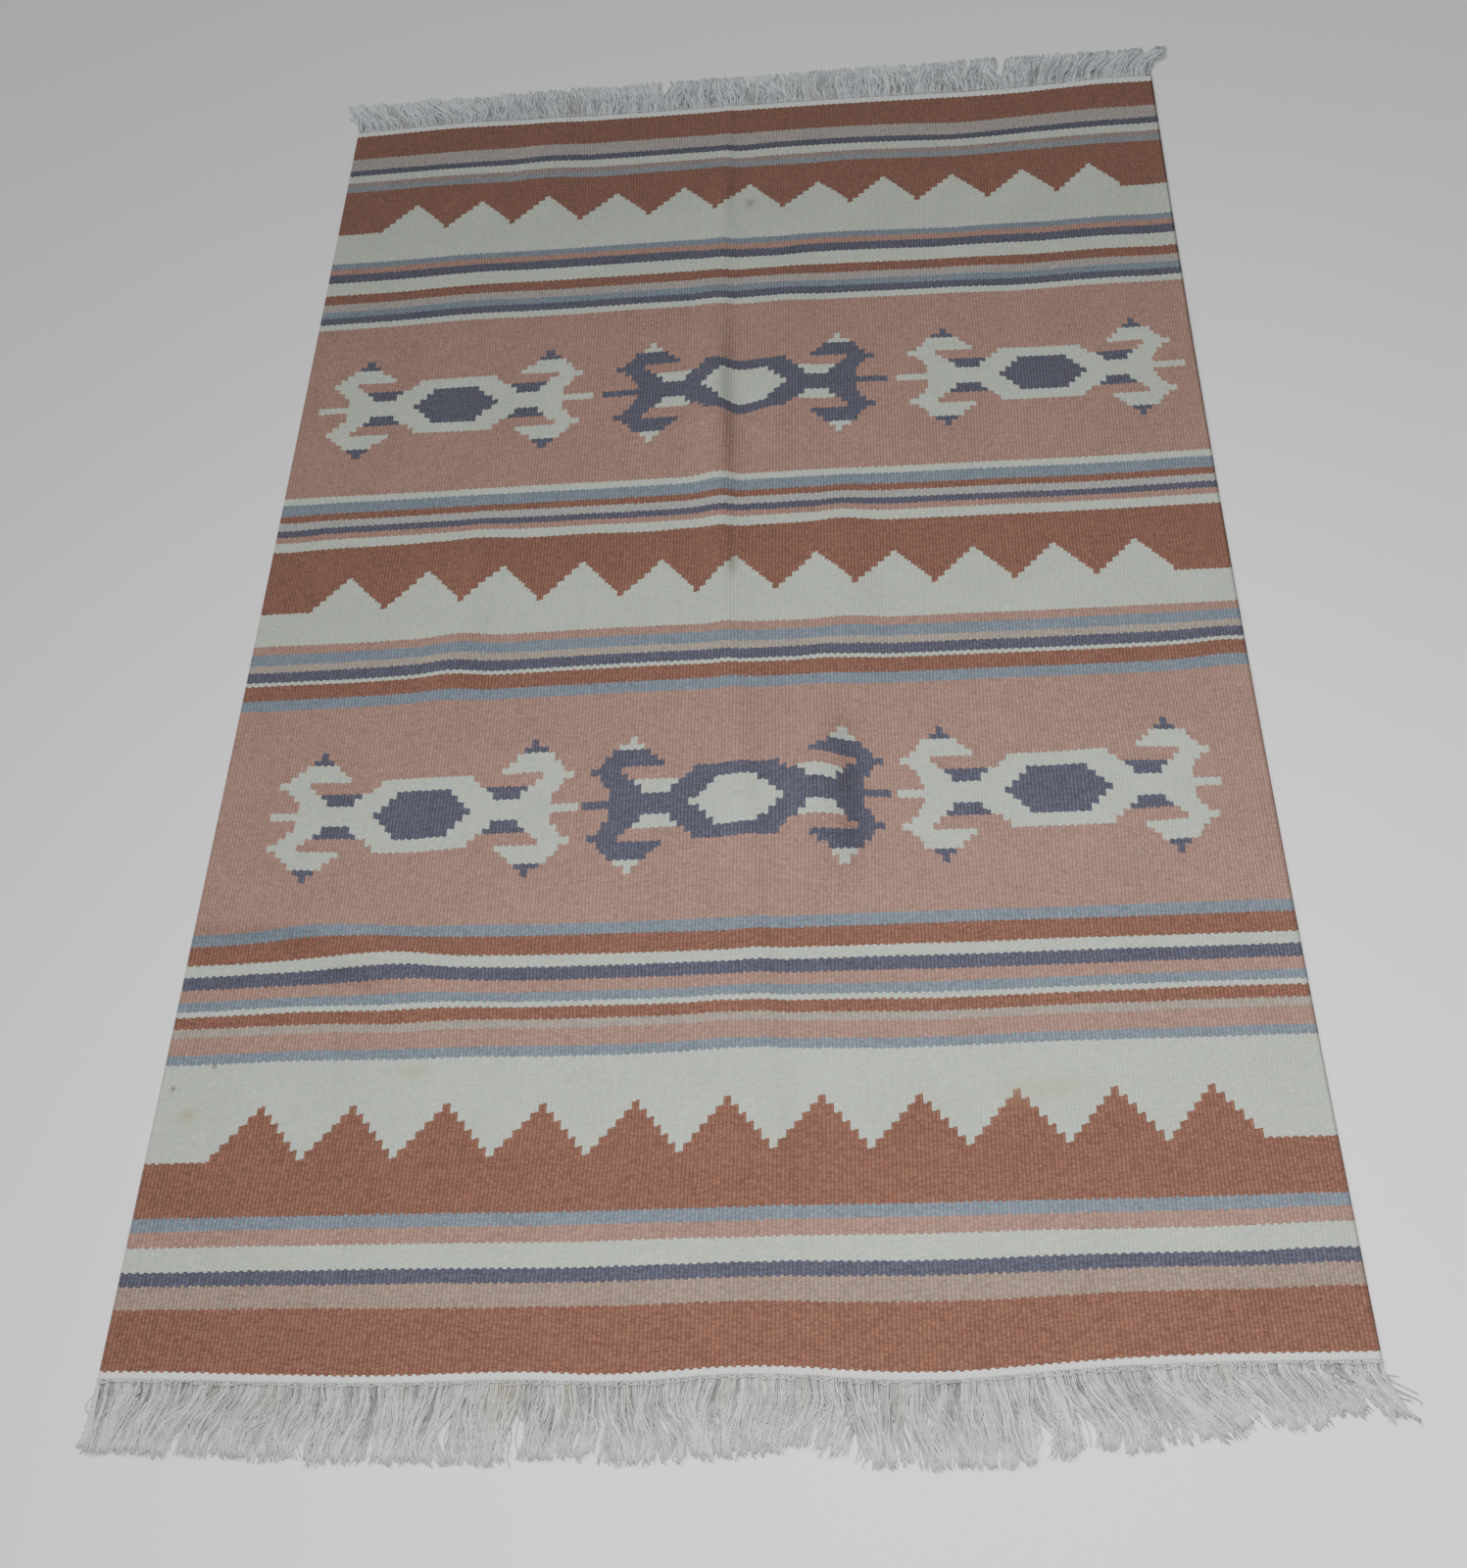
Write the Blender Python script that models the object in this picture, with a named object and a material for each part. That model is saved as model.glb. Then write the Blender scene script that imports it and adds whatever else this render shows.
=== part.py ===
"""A flat-woven kilim rug with a knotted warp fringe at each end, lying on a floor.

Metres, +Z up. +X runs across the rug, +Y along its length, and the origin is on the floor under its middle.
"""

import math
from collections import namedtuple

import bmesh
import bpy
import numpy as np

# Sizes of the woven cloth, which ends in a plain band at each end
CLOTH_WIDTH = 1.200
CLOTH_LENGTH = 1.818
CLOTH_THICKNESS = 0.003
END_BAND = 0.009
SELVEDGE = 0.004
EDGE_SHARE = 0.6  # of the full thickness, at the selvedges and at the two ends
COLUMNS = 56
ROWS = 54
MIDDLE_SPACING = 0.70  # of the mean, so that the columns crowd towards the centre fold

# Sizes of the fringe: a knotted heading, and locks of warp yarn that are trimmed to one line
FIT_GAP = 0.0003
HEADING_WIDTH = 0.007
HEADING_THICKNESS = 0.0035
LOCKS = 140
LOCK_PITCH = CLOTH_WIDTH / LOCKS
FRINGE_REACH = 0.0655
TIP_LINE = CLOTH_LENGTH / 2 + FIT_GAP + HEADING_WIDTH + FRINGE_REACH
LOCK_SHORTFALL = 0.013
UNEVEN_STEP = 2.4  # radians from one lock to the next, in how far they stop short
CLUMP_STEP = 0.37
CLUMP_SHARE = 0.35
SWAY = 0.0040
SWAY_WAVES = 5.5

# How far the tips of the outermost locks lean outwards, at the far end (+1) and the near end (-1)
Fan = namedtuple("Fan", "left right")
FANS = {1: Fan(0.031, 0.031), -1: Fan(0.003, 0.022)}
FAN_POWER = 3  # the lean fades towards the rug's middle as this power of the distance
BEND_POWER = 1.4  # and grows along a lock as this power of the length
SETTLE_POWER = 2  # a lock that starts on a ripple comes down to the floor as this power of the length left

# A lock's cross-section at stations along its length, as shares of the length, and half-width and height
Station = namedtuple("Station", "share half_width height")
ROOT = Station(0.0, 0.0031, HEADING_THICKNESS)
STATIONS = (
    Station(0.30, 0.0033, 0.0030),
    Station(0.68, 0.0029, 0.0024),
    Station(1.00, 0.0017, 0.0015),
)

# Soft ridges where the cloth stands off the floor: the middle, the reach across and along the ridge, the turn of
# its length from +Y, and the height. The first four are the fold along the rug's middle.
Ripple = namedtuple("Ripple", "x y across along turn_deg height")
RIPPLES = (
    Ripple(0.010, -0.250, 0.026, 0.620, 4.4, 0.0042),
    Ripple(-0.038, 0.290, 0.026, 0.170, 1.0, 0.0078),
    Ripple(-0.036, 0.650, 0.026, 0.170, 0.0, 0.0026),
    Ripple(0.042, 0.270, 0.028, 0.080, 0.0, 0.0040),
    Ripple(-0.335, -0.040, 0.034, 0.150, -4.0, 0.0075),
    Ripple(0.134, -0.005, 0.034, 0.130, 3.0, 0.0062),
    Ripple(-0.392, -0.482, 0.036, 0.130, 60.0, 0.0108),
    Ripple(0.090, -0.282, 0.033, 0.100, -4.0, 0.0105),
    Ripple(-0.295, 0.800, 0.050, 0.140, 0.0, 0.0040),
    Ripple(0.330, 0.560, 0.060, 0.160, -24.0, 0.0035),
)
LIES_FLAT_BELOW = 0.0009

# Where the cloth lies out of square: the middle and reach of each stretch, and how far it moves along +Y
Bow = namedtuple("Bow", "x y across along shift")
BOWS = (
    Bow(-0.430, 0.909, 0.110, 0.080, 0.006),
    Bow(0.530, 0.909, 0.080, 0.100, 0.004),
    Bow(0.350, 0.740, 0.150, 0.180, -0.012),
    Bow(-0.100, 0.500, 0.300, 0.220, 0.005),
    Bow(-0.080, -0.100, 0.260, 0.120, 0.005),
    Bow(-0.400, -0.470, 0.140, 0.110, 0.005),
    Bow(-0.320, -0.909, 0.200, 0.060, -0.0085),
    Bow(-0.090, -0.909, 0.085, 0.060, -0.0075),
    Bow(0.190, -0.909, 0.140, 0.070, -0.0125),
)
# The selvedges draw in towards the middle of the rug's length
LEFT_DRAW_IN = 0.004
RIGHT_DRAW_IN = 0.009

RUST = (0.34, 0.16, 0.11, 1.0)
COTTON = (0.66, 0.65, 0.60, 1.0)


def clear_scene():
    """Remove whatever the file holds at the start."""
    for obj in list(bpy.data.objects):
        bpy.data.objects.remove(obj)


def yarn_material(name, colour):
    """A matt cotton or wool yarn of one colour."""
    material = bpy.data.materials.new(name)
    material.use_nodes = True
    shader = material.node_tree.nodes["Principled BSDF"]
    shader.inputs["Base Color"].default_value = colour
    shader.inputs["Roughness"].default_value = 0.9
    shader.inputs["Metallic"].default_value = 0.0
    return material


def lift(x, y):
    """How far the underside stands off the floor over the flat cloth's point x, y."""
    height = 0.0
    for ripple in RIPPLES:
        turn = math.radians(ripple.turn_deg)
        over_x = x - ripple.x
        over_y = y - ripple.y
        across = over_x * math.cos(turn) + over_y * math.sin(turn)
        along = over_y * math.cos(turn) - over_x * math.sin(turn)
        height += ripple.height * math.exp(-((across / ripple.across) ** 2) - (along / ripple.along) ** 2)
    return max(0.0, height - LIES_FLAT_BELOW)


def lie(x, y):
    """Where the flat cloth's point x, y lies on the floor, seen from above."""
    shift = sum(
        bow.shift * math.exp(-(((x - bow.x) / bow.across) ** 2) - ((y - bow.y) / bow.along) ** 2) for bow in BOWS
    )
    middling = 1 - (2 * y / CLOTH_LENGTH) ** 2
    side = 2 * x / CLOTH_WIDTH
    draw_in = (RIGHT_DRAW_IN if side > 0 else LEFT_DRAW_IN) * side**2 * middling
    return x - math.copysign(draw_in, side), y + shift


def cloth_columns():
    """Places of the grid's columns across the rug, close together at the centre fold, with one at each selvedge."""
    spread = np.linspace(-1.0, 1.0, COLUMNS - 1)
    inner = CLOTH_WIDTH / 2 - SELVEDGE
    places = inner * (MIDDLE_SPACING * spread + (1 - MIDDLE_SPACING) * spread**3)
    return [-CLOTH_WIDTH / 2, *places, CLOTH_WIDTH / 2]


def cloth_rows():
    """Places of the grid's rows along the rug, with one where each end band meets the coloured cloth."""
    inner = CLOTH_LENGTH / 2 - END_BAND
    return [-CLOTH_LENGTH / 2, *np.linspace(-inner, inner, ROWS - 1), CLOTH_LENGTH / 2]


def build_cloth():
    """The woven cloth: its underside is a grid on the floor and the ripples, and Solidify thickens it upwards."""
    columns = cloth_columns()
    rows = cloth_rows()
    bpy.ops.mesh.primitive_grid_add(x_subdivisions=COLUMNS, y_subdivisions=ROWS, size=2.0)
    cloth = bpy.context.object
    cloth.name = "woven_cloth"
    cloth.data.name = "woven_cloth"
    edge = cloth.vertex_groups.new(name="thickness")
    for vertex in cloth.data.vertices:
        column = round((vertex.co.x + 1) / 2 * COLUMNS)
        row = round((vertex.co.y + 1) / 2 * ROWS)
        at_rim = column in (0, COLUMNS) or row in (0, ROWS)
        edge.add([vertex.index], EDGE_SHARE if at_rim else 1.0, "REPLACE")
        x, y = lie(columns[column], rows[row])
        vertex.co = (x, y, lift(columns[column], rows[row]))
    thicken = cloth.modifiers.new("Thickness", "SOLIDIFY")
    thicken.thickness = CLOTH_THICKNESS
    thicken.offset = 1.0
    thicken.vertex_group = edge.name
    cloth.data.materials.append(yarn_material("wool_weft", RUST))
    return cloth


def heading_stations():
    """Places along the heading where its faces divide: the two edges of each lock's root, and the two ends."""
    places = [-CLOTH_WIDTH / 2]
    for lock in range(LOCKS):
        middle = -CLOTH_WIDTH / 2 + (lock + 0.5) * LOCK_PITCH
        places += [middle - ROOT.half_width, middle + ROOT.half_width]
    return [*places, CLOTH_WIDTH / 2]


def heading_points(end):
    """The cloth's end at each heading station, as x, y and the floor height. End is +1 far, -1 near."""
    columns = cloth_columns()
    rim = [(*lie(x, end * CLOTH_LENGTH / 2), lift(x, end * CLOTH_LENGTH / 2)) for x in columns]
    rim_x, rim_y, rim_z = zip(*rim)
    return [(x, np.interp(x, rim_x, rim_y), np.interp(x, rim_x, rim_z)) for x in heading_stations()]


def lean(x, share, end):
    """How far a lock's middle has moved sideways at this share of its length."""
    side = 2 * x / CLOTH_WIDTH
    fan = FANS[end].right if side > 0 else FANS[end].left
    sway = SWAY * math.sin(math.pi * SWAY_WAVES * side + end) * math.sin(math.pi * share)
    return math.copysign(fan * abs(side) ** FAN_POWER * share**BEND_POWER, side) + sway


def shortfall(lock, end):
    """How far a lock stops short of the trimmed line: uneven from lock to lock, and from clump to clump."""
    uneven = 0.5 + 0.5 * math.sin(UNEVEN_STEP * lock + end)
    clump = 0.5 + 0.5 * math.sin(CLUMP_STEP * lock - end)
    return LOCK_SHORTFALL * ((1 - CLUMP_SHARE) * uneven + CLUMP_SHARE * clump)


def place_section(face, middle_x, y, half_width, floor, height):
    """Move the four corners of a lock's newest section, keeping left, right, low and high as they are."""
    middle = face.calc_center_median()
    for corner in face.verts:
        left = corner.co.x < middle.x
        low = corner.co.z < middle.z
        corner.co.x = middle_x - half_width if left else middle_x + half_width
        corner.co.y = y
        corner.co.z = floor if low else floor + height


def build_fringe(name, end):
    """A knotted heading along one end of the cloth, with the locks drawn out of its face. End is +1 far, -1 near."""
    mesh = bmesh.new()
    low_corners = []
    high_corners = []
    for x, y, floor in heading_points(end):
        low_corners.append(mesh.verts.new((x, y + end * FIT_GAP, floor)))
        high_corners.append(mesh.verts.new((x, y + end * FIT_GAP, floor + HEADING_THICKNESS)))
    backs = [
        mesh.faces.new((low_corners[i], low_corners[i + 1], high_corners[i + 1], high_corners[i]))
        for i in range(len(low_corners) - 1)
    ]
    drawn = bmesh.ops.extrude_face_region(mesh, geom=backs, use_keep_orig=True)["geom"]
    front_corners = [item for item in drawn if isinstance(item, bmesh.types.BMVert)]
    bmesh.ops.translate(mesh, verts=front_corners, vec=(0.0, end * HEADING_WIDTH, 0.0))
    fronts = [item for item in drawn if isinstance(item, bmesh.types.BMFace)]
    fronts.sort(key=lambda face: face.calc_center_median().x)
    tips = fronts[1::2]
    roots = [tip.calc_center_median().copy() for tip in tips]
    floors = [min(corner.co.z for corner in tip.verts) for tip in tips]
    for station in STATIONS:
        tips = bmesh.ops.extrude_discrete_faces(mesh, faces=tips)["faces"]
        tips.sort(key=lambda face: face.calc_center_median().x)
        for lock, (tip, root, floor) in enumerate(zip(tips, roots, floors)):
            reach = TIP_LINE - shortfall(lock, end) - abs(root.y)
            place_section(
                tip,
                middle_x=root.x + lean(root.x, station.share, end),
                y=root.y + end * reach * station.share,
                half_width=station.half_width,
                floor=floor * (1 - station.share) ** SETTLE_POWER,
                height=station.height,
            )
    bmesh.ops.recalc_face_normals(mesh, faces=mesh.faces)
    fringe = bpy.data.objects.new(name, bpy.data.meshes.new(name))
    bpy.context.scene.collection.objects.link(fringe)
    mesh.to_mesh(fringe.data)
    mesh.free()
    fringe.data.materials.append(yarn_material(name + "_yarn", COTTON))
    return fringe


def main():
    """Build the rug: the cloth, and a fringe at each end."""
    clear_scene()
    build_cloth()
    build_fringe("fringe_near", -1)
    build_fringe("fringe_far", 1)


main()
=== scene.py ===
"""A flat-woven kilim rug on a pale floor: the cloth, its woven pattern and the warp fringe at both ends."""

import logging
import math
from dataclasses import dataclass
from enum import Enum
from typing import Callable, NamedTuple

import bpy
import numpy as np
from mathutils import Matrix, Vector


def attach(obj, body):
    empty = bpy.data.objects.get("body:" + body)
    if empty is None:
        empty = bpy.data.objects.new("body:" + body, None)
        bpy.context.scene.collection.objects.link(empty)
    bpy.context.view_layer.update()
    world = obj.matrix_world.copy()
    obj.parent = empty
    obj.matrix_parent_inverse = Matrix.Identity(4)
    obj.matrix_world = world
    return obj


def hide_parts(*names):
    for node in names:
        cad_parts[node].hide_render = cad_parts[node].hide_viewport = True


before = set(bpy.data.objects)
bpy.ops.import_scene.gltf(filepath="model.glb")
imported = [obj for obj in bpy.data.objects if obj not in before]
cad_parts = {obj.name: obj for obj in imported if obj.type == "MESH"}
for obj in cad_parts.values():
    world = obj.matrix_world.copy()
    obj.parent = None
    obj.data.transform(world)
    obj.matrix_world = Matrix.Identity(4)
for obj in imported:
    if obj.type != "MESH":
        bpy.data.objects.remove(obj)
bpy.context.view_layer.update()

Socket = bpy.types.NodeSocket

LOG = logging.getLogger("kilim")
BAKE_MAP = "OFBake"

# Sizes of the solids, in metres
CLOTH_WIDTH = 1.200
CLOTH_LENGTH = 1.818
END_BAND = 0.009
FIT_GAP = 0.0003
HEADING_WIDTH = 0.007
FRINGE_REACH = 0.0655
TIP_LINE = CLOTH_LENGTH / 2 + FIT_GAP + HEADING_WIDTH + FRINGE_REACH
LOCK_SHORTFALL = 0.013
SWAY = 0.0040
SWAY_WAVES = 5.5
FAN_POWER = 3
BEND_POWER = 1.4
SETTLE_POWER = 2

MM = 1000.0
RIBS = 297
RIB_MM = CLOTH_WIDTH * MM / RIBS


class Ripple(NamedTuple):
    """A soft ridge that the cloth keeps: its middle, half-widths, turn and height."""

    x: float
    y: float
    across: float
    along: float
    turn_deg: float
    height: float


class Bow(NamedTuple):
    """A place where the cloth's cross lines bow along the rug: its middle, half-widths and shift."""

    x: float
    y: float
    across: float
    along: float
    shift: float


class Crease(NamedTuple):
    """A stop on the fold line: its place, and the height and right half-width of its ridge."""

    y: float
    x: float
    height: float
    right: float


RIPPLES = tuple(Ripple(*row) for row in (
    (0.010, -0.250, 0.026, 0.620, 4.4, 0.0042), (-0.038, 0.290, 0.026, 0.170, 1.0, 0.0078),
    (-0.036, 0.650, 0.026, 0.170, 0.0, 0.0026), (0.042, 0.270, 0.028, 0.080, 0.0, 0.0040),
    (-0.335, -0.040, 0.034, 0.150, -4.0, 0.0075), (0.134, -0.005, 0.034, 0.130, 3.0, 0.0062),
    (-0.392, -0.482, 0.036, 0.130, 60.0, 0.0108), (0.090, -0.282, 0.033, 0.100, -4.0, 0.0105),
    (-0.295, 0.800, 0.050, 0.140, 0.0, 0.0040), (0.330, 0.560, 0.060, 0.160, -24.0, 0.0035),
))
MAIN_CREASE = tuple(Crease(*row) for row in (
    (-0.909, 0.087, 0.0019, 0.007), (-0.788, 0.067, 0.0020, 0.007), (-0.600, 0.043, 0.0016, 0.007),
    (-0.420, 0.030, 0.0018, 0.007), (-0.260, 0.008, 0.0021, 0.008), (-0.100, -0.007, 0.0021, 0.008),
    (0.000, -0.016, 0.0024, 0.009), (0.150, -0.019, 0.0030, 0.010), (0.290, -0.026, 0.0040, 0.012),
    (0.390, -0.028, 0.0024, 0.010), (0.480, -0.026, 0.0012, 0.008), (0.700, -0.036, 0.0017, 0.008),
    (0.909, -0.026, 0.0013, 0.007),
))
CREASE_LEFT = 0.016

BOWS = tuple(Bow(*row) for row in (
    (-0.430, 0.909, 0.110, 0.080, 0.006), (0.530, 0.909, 0.080, 0.100, 0.004),
    (0.350, 0.740, 0.150, 0.180, -0.012), (-0.100, 0.500, 0.300, 0.220, 0.005),
    (-0.080, -0.100, 0.260, 0.120, 0.005), (-0.400, -0.470, 0.140, 0.110, 0.005),
    (-0.320, -0.909, 0.200, 0.060, -0.0085), (-0.090, -0.909, 0.085, 0.060, -0.0075),
    (0.190, -0.909, 0.140, 0.070, -0.0125),
))
# The same, but with sideways shifts
WANDERS = tuple(Bow(*row) for row in (
    (-0.125, 0.720, 0.150, 0.100, 0.0085), (0.100, 0.720, 0.110, 0.100, 0.0070),
    (0.415, 0.720, 0.190, 0.110, 0.0105), (-0.115, 0.330, 0.060, 0.090, 0.0050),
    (0.450, 0.330, 0.200, 0.100, 0.0045), (-0.410, 0.310, 0.060, 0.080, 0.0030),
    (-0.470, 0.035, 0.060, 0.080, -0.0050), (-0.320, 0.035, 0.070, 0.080, -0.0020),
    (-0.135, 0.035, 0.060, 0.080, 0.0040), (-0.010, 0.035, 0.026, 0.080, -0.0030),
    (0.490, 0.035, 0.090, 0.080, 0.0040), (0.450, -0.300, 0.090, 0.110, 0.0080),
    (0.115, -0.300, 0.065, 0.110, 0.0050), (0.255, -0.300, 0.050, 0.110, -0.0025),
    (-0.120, -0.300, 0.045, 0.110, -0.0025), (-0.490, -0.350, 0.060, 0.060, -0.0045),
    (-0.170, -0.655, 0.150, 0.110, 0.0075), (-0.440, -0.655, 0.070, 0.110, 0.0025),
    (0.350, -0.655, 0.230, 0.110, 0.0035),
))


class Yarn(Enum):
    """The dyed weft yarns, each with its colour as linear red, green and blue."""

    CREAM = (0.525, 0.570, 0.485)
    RUST = (0.232, 0.104, 0.070)
    PINK = (0.365, 0.212, 0.166)
    LIGHT_BLUE = (0.190, 0.227, 0.272)
    INDIGO = (0.094, 0.094, 0.132)
    TAUPE = (0.330, 0.238, 0.188)
    SAND = (0.375, 0.318, 0.265)
    ASH = (0.385, 0.385, 0.360)
    GREY_TAUPE = (0.365, 0.328, 0.302)
    GREY_BLUE = (0.235, 0.255, 0.275)
    ROSE_TAUPE = (0.300, 0.225, 0.198)
    BLEACHED = (0.770, 0.790, 0.755)

    @property
    def number(self) -> float:
        """The yarn's place in the dye list, from 0 up."""
        return float(list(Yarn).index(self))


class Band(NamedTuple):
    """A stripe that starts so many millimetres from the near end of the coloured cloth."""

    start_mm: float
    yarn: Yarn


BANDS = tuple(Band(*row) for row in (
    (-9.0, Yarn.BLEACHED), (-1.5, Yarn.RUST), (54.8, Yarn.TAUPE), (76.2, Yarn.INDIGO),
    (90.0, Yarn.CREAM), (113.6, Yarn.PINK), (129.7, Yarn.LIGHT_BLUE), (142.8, Yarn.RUST),
    (199.5, Yarn.CREAM), (304.5, Yarn.LIGHT_BLUE), (315.5, Yarn.PINK), (335.0, Yarn.SAND),
    (344.5, Yarn.RUST), (358.5, Yarn.CREAM), (364.5, Yarn.LIGHT_BLUE), (375.5, Yarn.PINK),
    (389.0, Yarn.INDIGO), (404.5, Yarn.CREAM), (418.0, Yarn.RUST), (441.0, Yarn.LIGHT_BLUE),
    (455.0, Yarn.PINK), (749.0, Yarn.LIGHT_BLUE), (764.0, Yarn.RUST), (785.0, Yarn.CREAM),
    (790.0, Yarn.INDIGO), (805.0, Yarn.SAND), (815.5, Yarn.LIGHT_BLUE), (831.5, Yarn.PINK),
    (844.0, Yarn.CREAM), (893.0, Yarn.RUST), (993.5, Yarn.CREAM), (1008.5, Yarn.PINK),
    (1018.0, Yarn.INDIGO), (1028.5, Yarn.ASH), (1040.5, Yarn.RUST), (1051.5, Yarn.LIGHT_BLUE),
    (1069.0, Yarn.CREAM), (1079.5, Yarn.PINK), (1383.5, Yarn.CREAM), (1394.5, Yarn.INDIGO),
    (1408.0, Yarn.LIGHT_BLUE), (1420.0, Yarn.GREY_TAUPE), (1434.5, Yarn.RUST), (1452.5, Yarn.CREAM),
    (1478.0, Yarn.INDIGO), (1495.0, Yarn.PINK), (1506.0, Yarn.LIGHT_BLUE), (1517.5, Yarn.CREAM),
    (1578.5, Yarn.RUST), (1670.5, Yarn.GREY_BLUE), (1682.5, Yarn.ROSE_TAUPE), (1691.5, Yarn.CREAM),
    (1707.0, Yarn.INDIGO), (1719.5, Yarn.GREY_TAUPE), (1745.0, Yarn.RUST), (1797.5, Yarn.BLEACHED),
))


class Flank(Enum):
    """How a sawtooth comes down on its right side."""

    COARSE = 12.0
    FINE = 12.5


class Sawteeth(NamedTuple):
    """A row of stepped teeth that all point to the far end."""

    base_mm: float
    step_mm: float
    yarn: Yarn
    flank: Flank


TEETH = (
    Sawteeth(199.5, 9.25, Yarn.RUST, Flank.COARSE),
    Sawteeth(893.0, 8.4, Yarn.CREAM, Flank.FINE),
    Sawteeth(1578.5, 8.6, Yarn.CREAM, Flank.FINE),
)
FIRST_TOOTH_MM = 60.6
LAST_TOOTH_MM = 1127.6
TOOTH_RIBS = 24

GROUND, OUTLINE, CENTRE = 0.0, 1.0, 2.0


class ChartRow(NamedTuple):
    """A row of a quarter of the medallion: up to this far from its middle line, with what starts where."""

    reach_mm: float
    starts: tuple[tuple[float, float], ...]


MEDALLION = (
    ChartRow(4.5, ((0, CENTRE), (58, OUTLINE), (147.5, GROUND))),
    ChartRow(12.5, ((0, CENTRE), (49.5, OUTLINE), (147.5, GROUND))),
    ChartRow(13.5, ((0, CENTRE), (41, OUTLINE), (147.5, GROUND))),
    ChartRow(21.5, ((0, CENTRE), (41, OUTLINE), (82, CENTRE), (114.5, OUTLINE), (148, GROUND))),
    ChartRow(23.5, ((0, CENTRE), (32.5, OUTLINE), (82, CENTRE), (114.5, OUTLINE), (155, GROUND))),
    ChartRow(30.3, ((0, CENTRE), (32.5, OUTLINE), (74, CENTRE), (122, OUTLINE), (155, GROUND))),
    ChartRow(38.0, ((0, OUTLINE), (62.5, GROUND), (129.5, OUTLINE), (162, GROUND))),
    ChartRow(47.0, ((0, OUTLINE), (54.5, GROUND), (138, OUTLINE), (173, GROUND))),
    ChartRow(54.5, ((0, GROUND), (88, OUTLINE), (162, GROUND))),
    ChartRow(61.5, ((0, GROUND), (96, OUTLINE), (155, GROUND))),
    ChartRow(70.0, ((0, GROUND), (106, OUTLINE), (148, GROUND))),
    ChartRow(77.0, ((0, GROUND), (112, CENTRE), (139, GROUND))),
    ChartRow(87.0, ((0, GROUND), (120.5, CENTRE), (130.5, GROUND))),
)
SIDE_BAR_MM = 5.2
LOWER_BAR_END_MM = 180.0
UPPER_BAR_END_MM = 189.0
NARROW_BY_MM = 7.0
MEDALLION_MIDDLE_MM = 602.5
LOWER_ROW_MM = 600.0
UPPER_ROW_MM = 1229.5
LOWER_SPACING_MM = 359.5
UPPER_SPACING_MM = 391.0
ROWS_PART_MM = 900.0


class Drift(NamedTuple):
    """A place where the weft lines drift from straight: its middle, half-widths and drift in millimetres."""

    x_mm: float
    y_mm: float
    across_mm: float
    along_mm: float
    drift_mm: float


DRIFTS = tuple(Drift(*row) for row in (
    (210, 1430, 80, 120, -4.0), (590, 1470, 35, 90, 3.5), (700, 1020, 60, 60, -4.5),
    (950, 1400, 90, 70, 3.0), (1170, 1560, 50, 220, 4.5), (1000, 1690, 80, 40, -4.0),
    (1040, 1040, 110, 60, 3.0), (20, 1010, 40, 40, 3.5), (1180, 770, 45, 50, -6.0),
    (240, 790, 50, 60, -2.5), (430, 95, 100, 60, 2.3), (595, 330, 35, 60, -3.0),
    (820, 330, 70, 50, 2.2), (1180, 90, 60, 60, -3.5), (660, 1400, 30, 60, -2.5),
    (180, 1685, 120, 25, -2.3), (682, 640, 34, 80, -11.0), (735, 560, 42, 60, -5.5),
    (600, 607, 55, 80, -3.0), (372, 685, 30, 30, -5.0), (590, 1700, 30, 50, 3.0),
    (905, 1740, 50, 30, 2.8), (1000, 70, 120, 30, -1.8), (552, 1190, 26, 55, -8.0),
    (594, 1190, 16, 70, 3.0), (652, 1190, 32, 60, -8.0), (532, 1285, 26, 40, -4.0),
    (662, 1280, 30, 40, -4.5), (645, 1490, 30, 30, 5.0), (553, 1490, 22, 30, 2.5),
    (606, 1420, 24, 30, -3.5), (620, 1035, 18, 30, -2.5), (697, 1035, 24, 30, 2.5),
    (602, 797, 18, 30, 3.0), (702, 797, 20, 25, -2.5), (690, 1620, 28, 45, 2.5),
    (625, 955, 36, 42, -3.0), (125, 463, 48, 18, -6.0), (250, 412, 40, 22, -3.0),
    (255, 458, 34, 14, 2.5), (140, 1620, 60, 60, -3.0), (400, 1620, 70, 55, 3.0),
    (542, 1625, 24, 45, -3.0), (655, 1620, 60, 55, 5.5), (960, 1620, 90, 55, -2.0),
    (1020, 1270, 100, 75, 4.5), (490, 1235, 40, 75, -3.0), (740, 1215, 80, 80, -3.0),
    (240, 1185, 50, 45, 2.0), (50, 1290, 40, 45, -2.5), (265, 955, 75, 42, -9.0),
    (405, 955, 42, 42, -6.0), (535, 955, 36, 42, -7.0), (732, 955, 34, 42, -6.5),
    (490, 655, 55, 50, -3.0), (160, 655, 45, 45, 2.5), (75, 560, 45, 45, -4.5), (225, 550, 50, 45, 5.0),
    (1115, 555, 45, 45, -3.0), (1035, 655, 40, 40, -3.0), (130, 245, 50, 50, -2.0),
    (440, 255, 80, 50, 3.0), (640, 255, 30, 50, -2.5), (765, 255, 50, 50, 4.0), (240, 350, 50, 35, 2.5),
    (860, 350, 150, 35, 1.6),
))


class FaintMark(NamedTuple):
    """A faint mark on the cloth, or a patch of painted shade on a fold: its middle and size in millimetres,
    and its strength.
    """

    x_mm: float
    y_mm: float
    across_mm: float
    along_mm: float
    strength: float


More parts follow.
